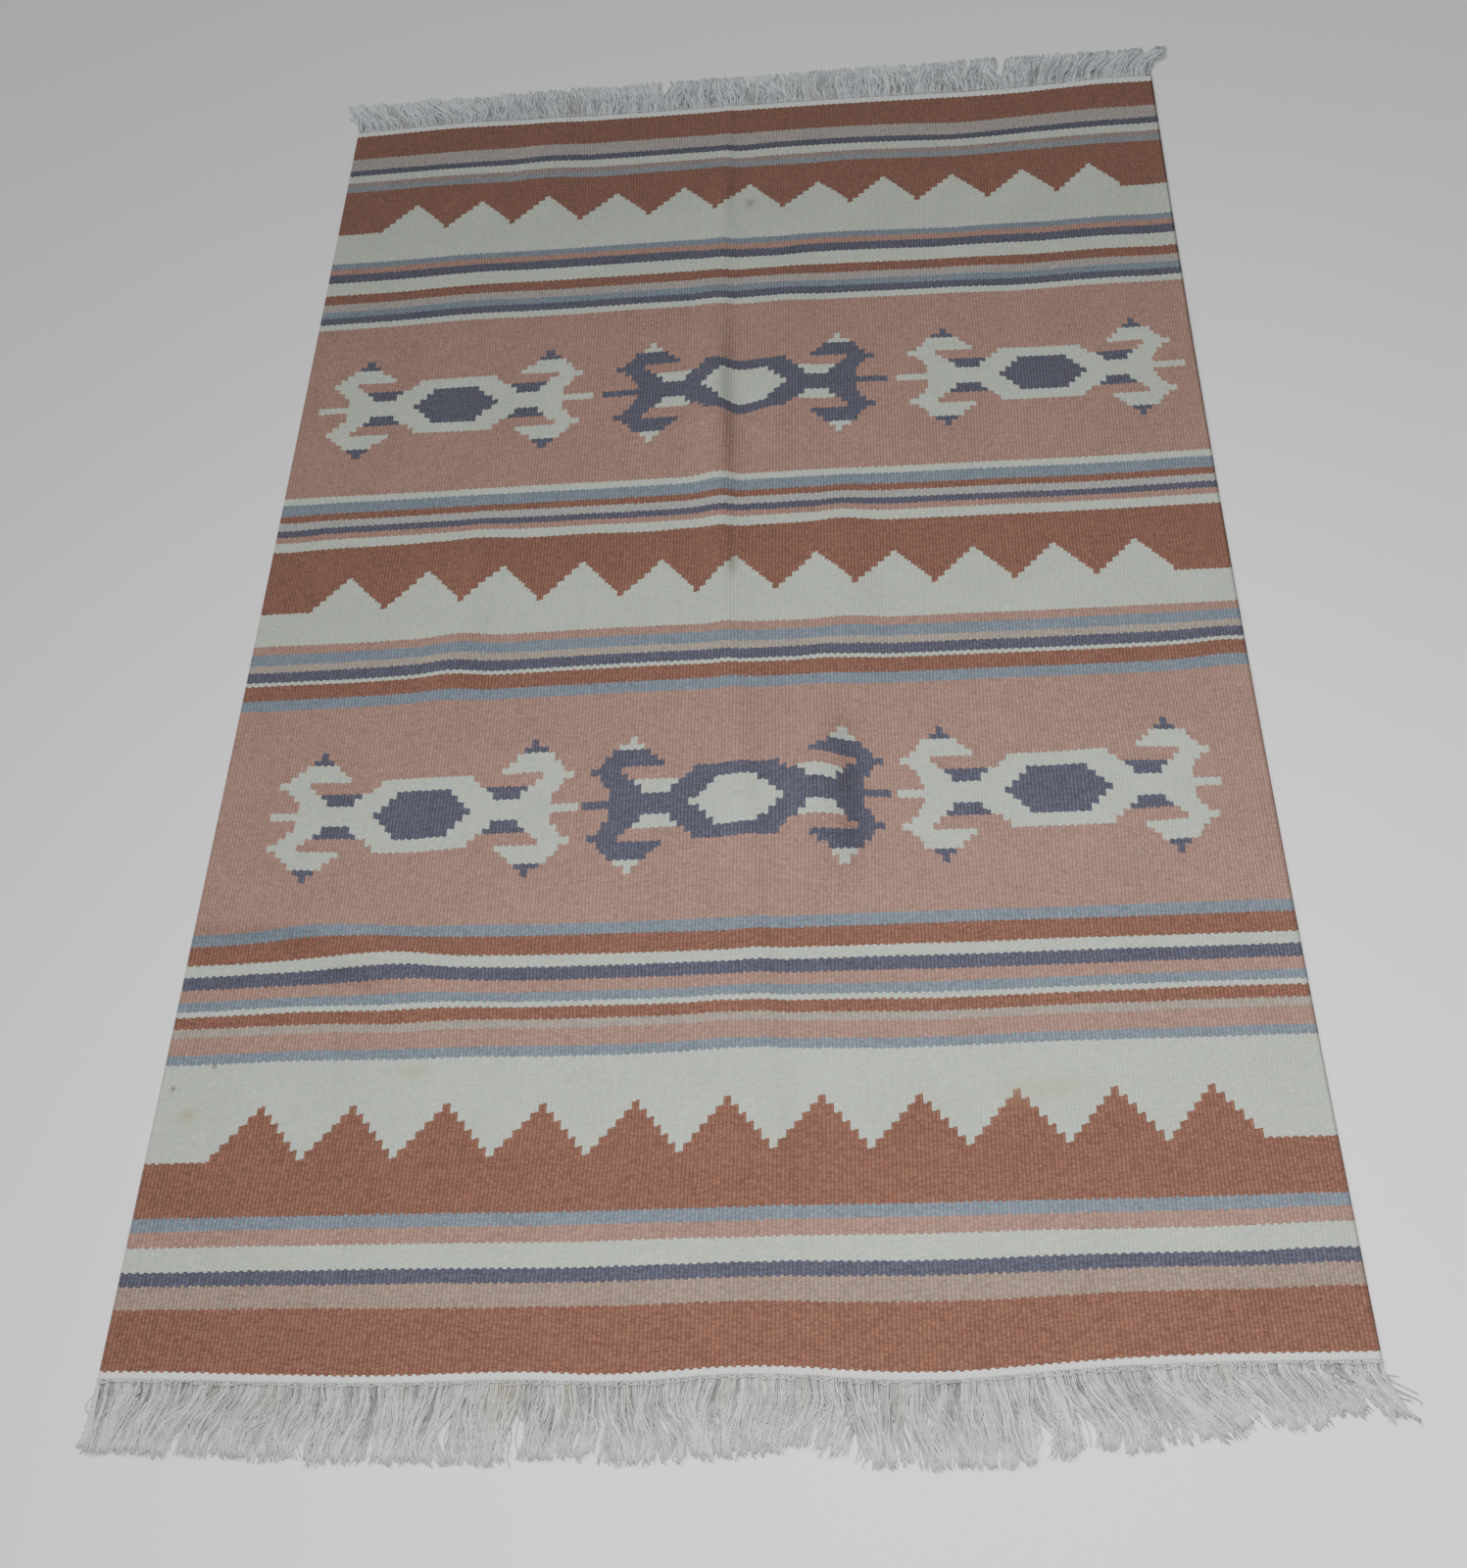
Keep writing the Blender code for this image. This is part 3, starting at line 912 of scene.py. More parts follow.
@dataclass(frozen=True)
class CottonYarn:
    """Undyed warp yarn, a little uneven in tone, with yellowed stretches near some roots; painted shade
    darkens its sides, the grooves between its plies and the yarns low in the pile, and painted light
    brightens its tips.
    """

    name: str = "cotton_yarn"
    pale: tuple[float, float, float] = (0.720, 0.740, 0.725)
    # The grey end is mostly painted shade for the yarns low in the pile
    grey: tuple[float, float, float] = (0.200, 0.205, 0.198)
    yellowed: tuple[float, float, float] = (0.530, 0.470, 0.330)
    cloud_scale: float = 60.0
    cloud_amount: float = 0.8
    fine_scale: float = 900.0
    fine_amount: float = 0.5
    ply_mm: float = 2.4
    plies: float = 2.0
    ply_depth: float = 0.22
    ply_shade: float = 0.84
    side_shade: float = 0.60
    tip_painted_lift: float = 0.75
    tip_tint: float = 0.95
    tip_light: float = 1.08
    roughness: float = 0.9
    specular: float = 0.2
    sheen: float = 0.15
    fuzz_share: float = 0.3
    relief: float = 0.00018

    def build(self) -> bpy.types.Material:
        """Make the material.

        Returns:
            The cotton yarn.
        """
        wiring = Wiring(self.name)
        tint, share, yellow = wiring.parts(wiring.attribute("strand"))
        around, along, _ = wiring.parts(wiring.attribute("ply"))
        place = wiring.node("TexCoord").outputs["Object"]
        cloud = wiring.noise(place, self.cloud_scale)
        fine = wiring.noise(place, self.fine_scale)
        # Painted light: the tips are made paler and brighter, against the shade that falls on them
        painted_tip_lift = wiring.times(wiring.times(share, share), self.tip_painted_lift)
        mixed = wiring.choose(painted_tip_lift, tint, self.tip_tint)
        mixed = wiring.vary(wiring.vary(mixed, cloud, self.cloud_amount), fine, self.fine_amount)
        colour = wiring.blend(wiring.hold(mixed), (*self.grey, 1.0), (*self.pale, 1.0))
        colour = wiring.blend(yellow, colour, (*self.yellowed, 1.0))
        # Painted shade between the plies, and on the yarn's sides, which are darker the less they face up
        strand = wiring.hump(wiring.plus(wiring.over(along, self.ply_mm), wiring.times(around, self.plies)))
        upright = wiring.parts(wiring.node("NewGeometry").outputs["Normal"])[2]
        lit = wiring.math("MULTIPLY_ADD", wiring.hold(upright), 1.0 - self.side_shade, self.side_shade)
        lit = wiring.choose(painted_tip_lift, lit, self.tip_light)
        shade = wiring.times(wiring.math("MULTIPLY_ADD", strand, self.ply_depth, self.ply_shade), lit)
        wiring.plug(wiring.shader.inputs["Base Color"], wiring.shaded(colour, shade))
        wiring.shader.inputs["Roughness"].default_value = self.roughness
        wiring.shader.inputs["Specular IOR Level"].default_value = self.specular
        wiring.shader.inputs["Sheen Weight"].default_value = self.sheen
        wiring.bump(wiring.math("MULTIPLY_ADD", fine, self.fuzz_share, strand), self.relief)
        return wiring.material


def deselect() -> None:
    """Leave nothing selected."""
    bpy.ops.object.select_all(action="DESELECT")


def make_active(piece: bpy.types.Object) -> None:
    """Select one piece alone and make it the active one."""
    deselect()
    piece.select_set(True)
    bpy.context.view_layer.objects.active = piece


@dataclass
class WovenCloth:
    """The cloth from selvedge to selvedge, with a rib over every warp and a groove between ribs."""

    lie: Lie
    finish: WovenWool
    crest: float = 0.0030
    groove: float = 0.0019
    rows: int = 68
    edge: tuple[tuple[float, float], ...] = ((0.0, 0.0010), (0.0006, 0.0021), (0.0013, 0.0027))
    end_edge: tuple[tuple[float, float], ...] = (
        (0.0, 0.0016), (0.0006, 0.0025), (0.0018, 0.0030), (0.0050, 0.0030),
    )
    under_share: float = 0.45
    facing: float = 0.25
    map_margin: float = 0.005
    map_length: float = 0.99
    top_strip: float = 0.735
    rim_line: float = 0.748
    under_line: float = 0.757
    under_strip: float = 0.238

    def columns(self) -> tuple[np.ndarray, np.ndarray]:
        """Places of the lines along the rug, and how thick the cloth is at each.

        Returns:
            Metres from the left selvedge, and the thicknesses.
        """
        half_rib = CLOTH_WIDTH / RIBS / 2
        lines = np.arange(1, 2 * RIBS)
        thick = np.where(lines % 2 == 1, self.crest, self.groove)
        edge_at, edge_thick = np.array(self.edge).T
        places = np.concatenate([edge_at, lines * half_rib, CLOTH_WIDTH - edge_at[::-1]])
        return places, np.concatenate([edge_thick, thick, edge_thick[::-1]])

    def lines(self) -> tuple[np.ndarray, np.ndarray]:
        """Places of the lines across the rug, and the most that the cloth is thick at each.

        Returns:
            Metres from the near end, and the thicknesses.
        """
        edge_at, edge_thick = np.array(self.end_edge).T
        inner = np.linspace(END_BAND, CLOTH_LENGTH - END_BAND, self.rows + 1)
        places = np.concatenate([edge_at, inner, CLOTH_LENGTH - edge_at[::-1]])
        thick = np.concatenate([edge_thick, np.full(len(inner), self.crest), edge_thick[::-1]])
        return places, thick

    def lay_grid(self) -> bpy.types.Object:
        """Add the underside as a grid on the floor and its ripples, with each point's thickness as a weight.

        Returns:
            The sheet without its thickness.
        """
        across, across_thick = self.columns()
        along, along_thick = self.lines()
        deselect()
        cells_x, cells_y = len(across) - 1, len(along) - 1
        bpy.ops.mesh.primitive_grid_add(x_subdivisions=cells_x, y_subdivisions=cells_y, size=2.0)
        sheet = bpy.context.object
        sheet.name = sheet.data.name = "kilim_cloth"
        count = len(sheet.data.vertices)
        points = np.empty(count * 3)
        sheet.data.vertices.foreach_get("co", points)
        points = points.reshape(count, 3)
        column = np.rint((points[:, 0] + 1) / 2 * cells_x).astype(int)
        row = np.rint((points[:, 1] + 1) / 2 * cells_y).astype(int)
        thick = np.minimum(across_thick[column], along_thick[row])
        x = across[column] - CLOTH_WIDTH / 2
        y = along[row] - CLOTH_LENGTH / 2
        points[:, 0], points[:, 1] = self.lie.place(x, y)
        points[:, 2] = self.lie.height(x, y) + (self.crest - thick) * self.under_share
        sheet.data.vertices.foreach_set("co", points.ravel())
        flat = np.zeros((count, 3), dtype=np.float32)
        flat[:, 0] = across[column] * MM
        flat[:, 1] = (along[row] - END_BAND) * MM
        for drift in DRIFTS:
            over_x = (flat[:, 0] - drift.x_mm) / drift.across_mm
            over_y = ((along[row] - END_BAND) * MM - drift.y_mm) / drift.along_mm
            flat[:, 1] += drift.drift_mm * np.exp(-(over_x**2) - over_y**2)
        carried = sheet.data.attributes.new("flat", "FLOAT_VECTOR", "POINT")
        carried.data.foreach_set("vector", flat.ravel())
        weights = sheet.vertex_groups.new(name="thickness")
        shares = np.round(thick / self.crest, 3)
        for share in np.unique(shares):
            weights.add(np.flatnonzero(shares == share).tolist(), float(share), "REPLACE")
        sheet.data.update()
        return sheet

    def thicken(self, sheet: bpy.types.Object) -> None:
        """Give the sheet its thickness upwards.

        Args:
            sheet: The underside.
        """
        make_active(sheet)
        solid = sheet.modifiers.new("Thickness", "SOLIDIFY")
        solid.thickness = self.crest
        solid.offset = 1.0
        solid.vertex_group = "thickness"
        solid.thickness_vertex_group = 0.0
        bpy.ops.object.modifier_apply(modifier=solid.name)
        bpy.ops.object.shade_smooth()

    def unwrap(self, sheet: bpy.types.Object) -> None:
        """Lay out the map for baking: the pattern side, a strip for the rim, and the underside.

        Args:
            sheet: The finished sheet.
        """
        mesh = sheet.data
        corners = len(mesh.loops)
        vertex = np.empty(corners, dtype=np.int32)
        mesh.loops.foreach_get("vertex_index", vertex)
        flat = np.empty(len(mesh.vertices) * 3, dtype=np.float32)
        mesh.attributes["flat"].data.foreach_get("vector", flat)
        flat = flat.reshape(-1, 3)[vertex]
        normals = np.empty(len(mesh.polygons) * 3, dtype=np.float32)
        mesh.polygons.foreach_get("normal", normals)
        upright = normals.reshape(-1, 3)[:, 2]
        starts = np.empty(len(mesh.polygons), dtype=np.int32)
        mesh.polygons.foreach_get("loop_start", starts)
        upright = np.repeat(upright, np.diff(np.append(starts, corners)))
        share_x = flat[:, 0] / (CLOTH_WIDTH * MM)
        share_y = np.clip((flat[:, 1] + END_BAND * MM) / (CLOTH_LENGTH * MM), 0.0, 1.0)
        places = np.empty((corners, 2), dtype=np.float32)
        places[:, 0] = self.map_margin + self.map_length * share_y
        under = self.under_line + self.under_strip * share_x
        beneath = np.where(upright < -self.facing, under, self.rim_line)
        places[:, 1] = np.where(upright > self.facing, self.map_margin + self.top_strip * share_x, beneath)
        while mesh.uv_layers:
            mesh.uv_layers.remove(mesh.uv_layers[0])
        layer = mesh.uv_layers.new(name=BAKE_MAP)
        layer.data.foreach_set("uv", places.ravel())

    def build(self) -> bpy.types.Object:
        """Make the whole cloth.

        Returns:
            The dressed cloth.
        """
        sheet = self.lay_grid()
        self.thicken(sheet)
        self.unwrap(sheet)
        sheet.data.materials.append(self.finish.build())
        return sheet


class Wave(NamedTuple):
    """A sideways wave on a yarn: the least and most of its height, in metres, and of its turns."""

    low: float
    high: float
    few: float
    many: float


@dataclass
class Warps:
    """The yarns of a fringe in their locks and bundles, with the seeded chance that lays them."""

    rng: np.random.Generator
    lock: np.ndarray
    bundle: np.ndarray
    middle: np.ndarray
    offset: np.ndarray
    in_lock: np.ndarray
    root: np.ndarray

    def each(self, low: float, high: float) -> np.ndarray:
        """One number for each yarn, as a column."""
        return self.rng.uniform(low, high, len(self.root))[:, None]

    def locked(self, low: float, high: float) -> np.ndarray:
        """One number for each lock, as a column of its yarns."""
        return self.rng.uniform(low, high, self.lock[-1] + 1)[self.lock][:, None]

    def shared(self, low: float, high: float) -> np.ndarray:
        """One number for each bundle, as a column of its yarns."""
        return self.rng.uniform(low, high, len(self.middle))[self.bundle][:, None]

    def nudged(self, spread: float) -> np.ndarray:
        """A number about 0 for each yarn, as a column."""
        return self.rng.normal(0, spread, len(self.root))[:, None]

    def some(self, part: float) -> np.ndarray:
        """Which yarns are among this part of them, as a column."""
        return (self.rng.random(len(self.root)) < part)[:, None]


@dataclass
class Fringe:
    """The ends of the warp yarns along one end of the cloth, in loose bundles that lie on the floor."""

    end: End
    lie: Lie
    material: bpy.types.Material
    seed: int
    fan_left: float
    fan_right: float
    sweeps: tuple[Sweep, ...]
    yellowings: tuple[Yellowing, ...]
    bundles: int = 104
    locks_in_bundle: int = 7
    yarns_in_lock: int = 4
    yarn_radius: float = 0.00068
    sides: int = 3
    lengths: int = 10
    tuck: float = 0.0016
    stack: float = 0.0022
    loft: float = 0.0016
    stray_share: float = 0.15
    curl_share: float = 0.09
    broken_share: float = 0.10
    loop_half: float = 0.0046
    loops_in_bundle: int = 2
    heading: float = FIT_GAP + HEADING_WIDTH
    last_root: float = 0.5985
    last_loop: float = 0.594
    bundle_stray: float = 0.15
    lock_spread: float = 1.3
    lock_stray: float = 0.1
    lock_half: float = 0.0016
    sweep_stray: float = 0.0056
    bundle_wave: float = 0.0026
    lock_drift: float = 0.0042
    yarn_drift: float = 0.0012
    stray_drift: float = 0.0095
    corner: float = 0.05
    corner_freedom: float = 0.25
    short_shares: tuple[float, float, float] = (0.55, 0.45, 0.25)
    broken_by: tuple[float, float] = (0.005, 0.028)
    latest_turn: float = 0.22
    earliest_end: float = 0.80
    waist: tuple[float, float] = (0.70, 1.10)
    waist_at: float = 0.6
    brush: tuple[float, float] = (0.50, 1.10)
    gather: float = 0.6
    curl_wide: tuple[float, float] = (0.003, 0.008)
    layer_shares: tuple[float, float, float] = (0.30, 0.50, 0.20)
    stack_fall: float = 0.45
    bob: float = 0.0003
    deep_pile_shade: float = 0.10
    pile_shade_lift: float = 0.85
    lock_wave: Wave = Wave(0.0008, 0.0042, 0.7, 1.7)
    slow_wave: Wave = Wave(0.0001, 0.0007, 0.7, 1.5)
    quick_wave: Wave = Wave(0.0000, 0.0005, 1.8, 3.0)
    curl_short: float = 0.014
    twist: float = 0.45
    above_floor: float = 0.00005
    cells_wide: int = 48
    cell_margin: float = 0.08

    @property
    def name(self) -> str:
        """The piece's name."""
        return f"warp_fringe_{self.end.name.lower()}"

    def model_yarn(self) -> tuple[np.ndarray, list[tuple[int, ...]], np.ndarray]:
        """Model one straight yarn: a slim tube in short lengths, drawn in at its tip.

        Returns:
            Its points, faces, and the place of each face corner around and along it.
        """
        deselect()
        bpy.ops.mesh.primitive_cylinder_add(vertices=self.sides, radius=1.0, depth=1.0, end_fill_type="NGON")
        yarn = bpy.context.object
        bpy.ops.object.mode_set(mode="EDIT")
        for cut in range(1, self.lengths):
            bpy.ops.mesh.select_all(action="SELECT")
            bpy.ops.mesh.bisect(plane_co=(0, 0, cut / self.lengths - 0.5), plane_no=(0, 0, 1))
        bpy.ops.object.mode_set(mode="OBJECT")
        mesh = yarn.data
        points = np.array([vertex.co[:] for vertex in mesh.vertices])
        points[:, 2] += 0.5
        points[points[:, 2] > 0.99, :2] *= 0.7
        faces = [tuple(face.vertices) for face in mesh.polygons]
        corners = []
        for face in mesh.polygons:
            middle = math.atan2(face.center.y, face.center.x)
            for index in face.vertices:
                turn = math.atan2(points[index, 1], points[index, 0])
                off = (turn - middle + math.pi) % (2 * math.pi) - math.pi
                corners.append(((middle + off) / (2 * math.pi), points[index, 2]))
        bpy.data.objects.remove(yarn, do_unlink=True)
        return points, faces, np.array(corners)

    def lean(self, x: np.ndarray, share: np.ndarray) -> np.ndarray:
        """How far a yarn has moved sideways at this share of its length, as the solid's locks do.

        Args:
            x: Where the yarns leave the cloth.
            share: From 0 at the heading to 1 at the tip.

        Returns:
            The sideways moves.
        """
        side = 2 * x / CLOTH_WIDTH
        fan = np.where(side > 0, self.fan_right, self.fan_left)
        sway = SWAY * np.sin(math.pi * SWAY_WAVES * side + self.end.value) * np.sin(math.pi * share)
        return np.copysign(fan * np.abs(side) ** FAN_POWER * share**BEND_POWER, side) + sway

    def deal(self, rng: np.random.Generator) -> Warps:
        """Share the yarns out over locks and bundles along the cloth's end.

        Args:
            rng: The seeded source of chance.

        Returns:
            The yarns.
        """
        locks = self.bundles * self.locks_in_bundle
        count = locks * self.yarns_in_lock
        lock = np.repeat(np.arange(locks), self.yarns_in_lock)
        bundle = lock // self.locks_in_bundle
        pitch = CLOTH_WIDTH / self.bundles
        middle = -CLOTH_WIDTH / 2 + (np.arange(self.bundles) + 0.5) * pitch
        middle = middle + rng.normal(0, self.bundle_stray * pitch, self.bundles)
        place = (np.arange(locks) % self.locks_in_bundle + 0.5) / self.locks_in_bundle - 0.5
        stray = rng.uniform(-self.lock_stray, self.lock_stray, locks)
        offset = (place * self.lock_spread + stray)[lock] * pitch
        in_lock = rng.uniform(-self.lock_half, self.lock_half, count)
        root = np.clip(middle[bundle] + offset + in_lock, -self.last_root, self.last_root)
        return Warps(rng, lock, bundle, middle, offset, in_lock, root)

    def shortfall(self, warps: Warps) -> np.ndarray:
        """How far each yarn stops short of the longest."""
        rng, count = warps.rng, len(warps.root)
        lock_share, bundle_share, yarn_share = self.short_shares
        by_lock = lock_share * rng.random(warps.lock[-1] + 1)[warps.lock] ** 1.5
        by_bundle = bundle_share * rng.random(self.bundles)[warps.bundle]
        short = LOCK_SHORTFALL * (by_lock + by_bundle + yarn_share * rng.random(count))
        broken = rng.random(count) < self.broken_share
        return short + np.where(broken, rng.uniform(*self.broken_by, count), 0.0)

    def comb(self, warps: Warps, x: np.ndarray, share: np.ndarray, table: np.ndarray) -> np.ndarray:
        """Sweep the bundles to the sides as they lie in the photo, and draw each in or spread it out.

        Args:
            warps: The yarns.
            x: Where the points of each yarn are across the rug.
            share: From 0 at the cloth's end to 1 at the tip.
            table: The sweeps, in metres.

        Returns:
            Where they are then.
        """
        swept = np.interp(warps.middle + CLOTH_WIDTH / 2, table[:, 0], table[:, 1])
        swept = swept + warps.rng.normal(0, self.sweep_stray, self.bundles)
        late = warps.shared(0.0, self.latest_turn)
        turned = np.clip((share - late) / (warps.shared(self.earliest_end, 1.0) - late), 0.0, 1.0)
        turned = turned**2 * (3 - 2 * turned)
        x = x + swept[warps.bundle][:, None] * turned
        waist, brush = warps.shared(*self.waist), warps.shared(*self.brush)
        width = 1 + (waist - 1) * np.clip(share / self.waist_at, 0, 1) ** 1.5
        width = width + (brush - waist) * np.clip((share - self.waist_at) / (1 - self.waist_at), 0, 1)
        gathered = warps.in_lock[:, None] * warps.locked(0.0, self.gather) * share
        x += (width - 1) * warps.offset[:, None] - gathered
        return x

    def wave(self, draw: Callable[[float, float], np.ndarray], wave: Wave, run: np.ndarray) -> np.ndarray:
        """A wave with a height, a number of turns and a start that are drawn in that order."""
        height = draw(wave.low, wave.high)
        return height * np.sin(2 * math.pi * (draw(wave.few, wave.many) * run + draw(0, 1)))

    def ruffle(self, warps: Warps, x: np.ndarray, share: np.ndarray, run: np.ndarray) -> None:
        """Move bundles, locks and yarns in waves and to the sides.

        Args:
            warps: The yarns.
            x: Where the points of each yarn are across the rug. They are moved.
            share: From 0 at the cloth's end to 1 at the tip.
            run: From 0 at the yarn's start to 1 at its tip.
        """
        rng = warps.rng
        inward = CLOTH_WIDTH / 2 - np.abs(warps.root)
        freedom = np.clip(inward / self.corner, self.corner_freedom, 1.0)[:, None]
        height = rng.normal(0, self.bundle_wave, self.bundles)[warps.bundle][:, None] * freedom
        x += height * np.sin(2 * math.pi * (warps.shared(0.6, 1.2) * share + warps.shared(0, 1))) * share**0.5
        x += rng.normal(0, self.lock_drift, warps.lock[-1] + 1)[warps.lock][:, None] * freedom * share**1.2
        x += self.wave(warps.locked, self.lock_wave, share) * share**0.6
        x += warps.nudged(self.yarn_drift) * share**1.3
        stray = warps.some(self.stray_share)
        x += np.where(stray, warps.nudged(self.stray_drift) * freedom * share**1.2, 0.0)
        x += self.wave(warps.each, self.slow_wave, run) * share**0.6
        x += self.wave(warps.each, self.quick_wave, run) * share**0.5

    def curl(self, warps: Warps, x: np.ndarray, y: np.ndarray, share: np.ndarray) -> None:
        """Curl some of the yarns.

        Args:
            warps: The yarns.
            x: Where the points of each yarn are across the rug. They are moved.
            y: How far out they are. They are moved.
            share: From 0 at the cloth's end to 1 at the tip.
        """
        curly = warps.some(self.curl_share)
        curl = warps.each(*self.curl_wide) * np.where(warps.some(0.5), -1, 1)
        x += np.where(curly, curl * np.sin(2 * math.pi * np.clip(share * 1.3 - 0.3, 0, 1)), 0.0)
        y -= np.where(curly, self.curl_short * share**2, 0.0)

    def looks(self, warps: Warps, lock_layer: np.ndarray) -> np.ndarray:
        """Each yarn's tone, which is paler high in the pile as painted shade darkens the lower yarns, and its
        yellowing.

        Args:
            warps: The yarns.
            lock_layer: How high each yarn's lock is in the pile, from 0 to 1.

        Returns:
            The tones and yellowings, side by side.
        """
        rng, count = warps.rng, len(warps.root)
        # Painted shade: yarns low in the pile are darker, with a random spread on top
        tone = self.deep_pile_shade + self.pile_shade_lift * lock_layer + rng.normal(0, 0.12, count)
        tone = tone + rng.normal(0, 0.06, self.bundles)[warps.bundle]
        yellow = np.zeros(count)
        for patch in self.yellowings:
            off = (warps.root + CLOTH_WIDTH / 2 - patch.x_mm / MM) / (patch.half_mm / MM)
            yellow += patch.strength * np.exp(-(off**2))
        yellow += np.where(rng.random(self.bundles) < 0.08, 0.25, 0.0)[warps.bundle]
        return np.stack([np.clip(tone, 0, 1), np.clip(yellow, 0, 0.8)], axis=1)

    def routes(self, rng: np.random.Generator) -> tuple[np.ndarray, np.ndarray]:
        """Lay every yarn from the cloth's end to its tip.

        Args:
            rng: The seeded source of chance.

        Returns:
            Points on each yarn, and each yarn's tone and yellowing.
        """
        warps = self.deal(rng)
        end_line = np.full(len(warps.root), self.end.value * CLOTH_LENGTH / 2)
        end_x, end_y = self.lie.place(warps.root, end_line)
        floor = self.lie.height(warps.root, end_line)
        table = np.array(self.sweeps) / MM
        out = np.interp(warps.root + CLOTH_WIDTH / 2, table[:, 0], table[:, 2])
        tip_y = TIP_LINE - self.shortfall(warps) + out
        run = np.linspace(0.0, 1.0, self.lengths + 1)[None, :]
        front = np.abs(end_y)[:, None]
        start = front - self.tuck
        y = start + (tip_y[:, None] - start) * run
        share = np.clip((y - front) / (tip_y[:, None] - front), 0.0, 1.0)
        past = np.clip((y - front - self.heading) / (tip_y[:, None] - front - self.heading), 0.0, 1.0)
        x = self.comb(warps, end_x[:, None] + self.lean(warps.root[:, None], past), share, table)
        self.ruffle(warps, x, share, run)
        self.curl(warps, x, y, share)

        lock_layer = rng.random(warps.lock[-1] + 1)[warps.lock]
        by_bundle, by_lock, by_yarn = self.layer_shares
        layer = by_bundle * rng.random(self.bundles)[warps.bundle] + by_lock * lock_layer
        layer = layer + by_yarn * rng.random(len(floor))
        pile = self.stack * (1 - self.stack_fall * share) + self.loft * np.sin(math.pi * share) ** 2
        z = floor[:, None] * (1 - past) ** SETTLE_POWER + self.yarn_radius + layer[:, None] * pile
        z += self.bob * np.sin(2 * math.pi * (2 * run + warps.each(0, 1))) * share
        paths = np.stack([x, self.end.value * y, np.maximum(z, self.yarn_radius)], axis=2)
        return paths, self.looks(warps, lock_layer)

    def loops(self, rng: np.random.Generator) -> tuple[np.ndarray, np.ndarray]:
        """Lay the small turned-over loops along the cloth's end.

        Args:
            rng: The seeded source of chance.

        Returns:
            Points on each loop, and each loop's tone and yellowing.
        """
        way = self.end.value
        count = self.bundles * self.loops_in_bundle
        middle = -CLOTH_WIDTH / 2 + (np.arange(count) + 0.5) * CLOTH_WIDTH / count
        middle = np.clip(middle + rng.normal(0, 0.0012, count), -self.last_loop, self.last_loop)
        half = self.loop_half * rng.uniform(0.6, 1.25, count)
        end_line = np.full(count, way * CLOTH_LENGTH / 2)
        end_x, end_y = self.lie.place(middle, end_line)
        floor = self.lie.height(middle, end_line)
        t = np.linspace(0.0, 1.0, self.lengths + 1)[None, :]
        x = end_x[:, None] - half[:, None] * np.cos(math.pi * t)
        out = rng.uniform(0.0012, 0.0048, count)[:, None]
        y = np.abs(end_y)[:, None] - 0.0004 + out * np.sin(math.pi * t)
        z = floor[:, None] + 0.0018 + 0.0016 * np.sin(math.pi * t) ** 0.5
        paths = np.stack([x, way * y, z], axis=2)
        tone = np.clip(rng.normal(0.72, 0.18, count), 0, 1)
        return paths, np.stack([tone, np.where(rng.random(count) < 0.2, 0.45, 0.0)], axis=1)

    def sweep(self, paths: np.ndarray, looks: np.ndarray, rng: np.random.Generator) -> bpy.types.Object:
        """Copy the modelled yarn along every route, as one mesh.

        Args:
            paths: Points on each yarn.
            looks: Each yarn's tone and yellowing.
            rng: The seeded source of chance.

        Returns:
            The yarns, with their marks for the finish and a map for baking.
        """
        points, faces, corners = self.model_yarn()
        count, stops, _ = paths.shape
        tangent = np.gradient(paths, axis=1)
        tangent /= np.linalg.norm(tangent, axis=2, keepdims=True)
        sideways = np.cross(tangent, np.array([0.0, 0.0, 1.0]))
        sideways /= np.linalg.norm(sideways, axis=2, keepdims=True)
        upward = np.cross(sideways, tangent)
        stop = np.rint(points[:, 2] * (stops - 1)).astype(int)
        turn = self.twist * stop[None, :] + rng.uniform(0, 2 * math.pi, count)[:, None]
        local_x = points[None, :, 0] * np.cos(turn) - points[None, :, 1] * np.sin(turn)
        local_y = points[None, :, 0] * np.sin(turn) + points[None, :, 1] * np.cos(turn)
        radius = self.yarn_radius * rng.uniform(0.85, 1.15, count)[:, None]
        placed = paths[:, stop] + (local_x * radius)[..., None] * sideways[:, stop]
        placed = placed + (local_y * radius)[..., None] * upward[:, stop]
        placed[..., 2] = np.maximum(placed[..., 2], self.above_floor)
        each = len(points)
        all_faces = [tuple(index + yarn * each for index in face) for yarn in range(count) for face in faces]
        mesh = bpy.data.meshes.new(self.name)
        mesh.from_pydata(placed.reshape(-1, 3).tolist(), [], all_faces)
        piece = bpy.data.objects.new(self.name, mesh)
        bpy.context.scene.collection.objects.link(piece)

        strand = np.zeros((count, each, 3), dtype=np.float32)
        strand[..., 0] = looks[:, 0, None]
        strand[..., 1] = points[None, :, 2]
        strand[..., 2] = looks[:, 1, None] * np.clip(1.1 - 1.3 * points[None, :, 2], 0, 1)
        mesh.attributes.new("strand", "FLOAT_VECTOR", "POINT").data.foreach_set("vector", strand.ravel())
        length = np.linalg.norm(np.diff(paths, axis=1), axis=2).sum(axis=1)
        ply = np.zeros((count, len(corners), 2), dtype=np.float32)
        ply[..., 0] = corners[None, :, 0]
        ply[..., 1] = corners[None, :, 1] * length[:, None] * MM
        mesh.attributes.new("ply", "FLOAT2", "CORNER").data.foreach_set("vector", ply.ravel())
        self.map_cells(mesh, corners, count)
        mesh.update()
        make_active(piece)
        bpy.ops.object.shade_smooth()
        return piece

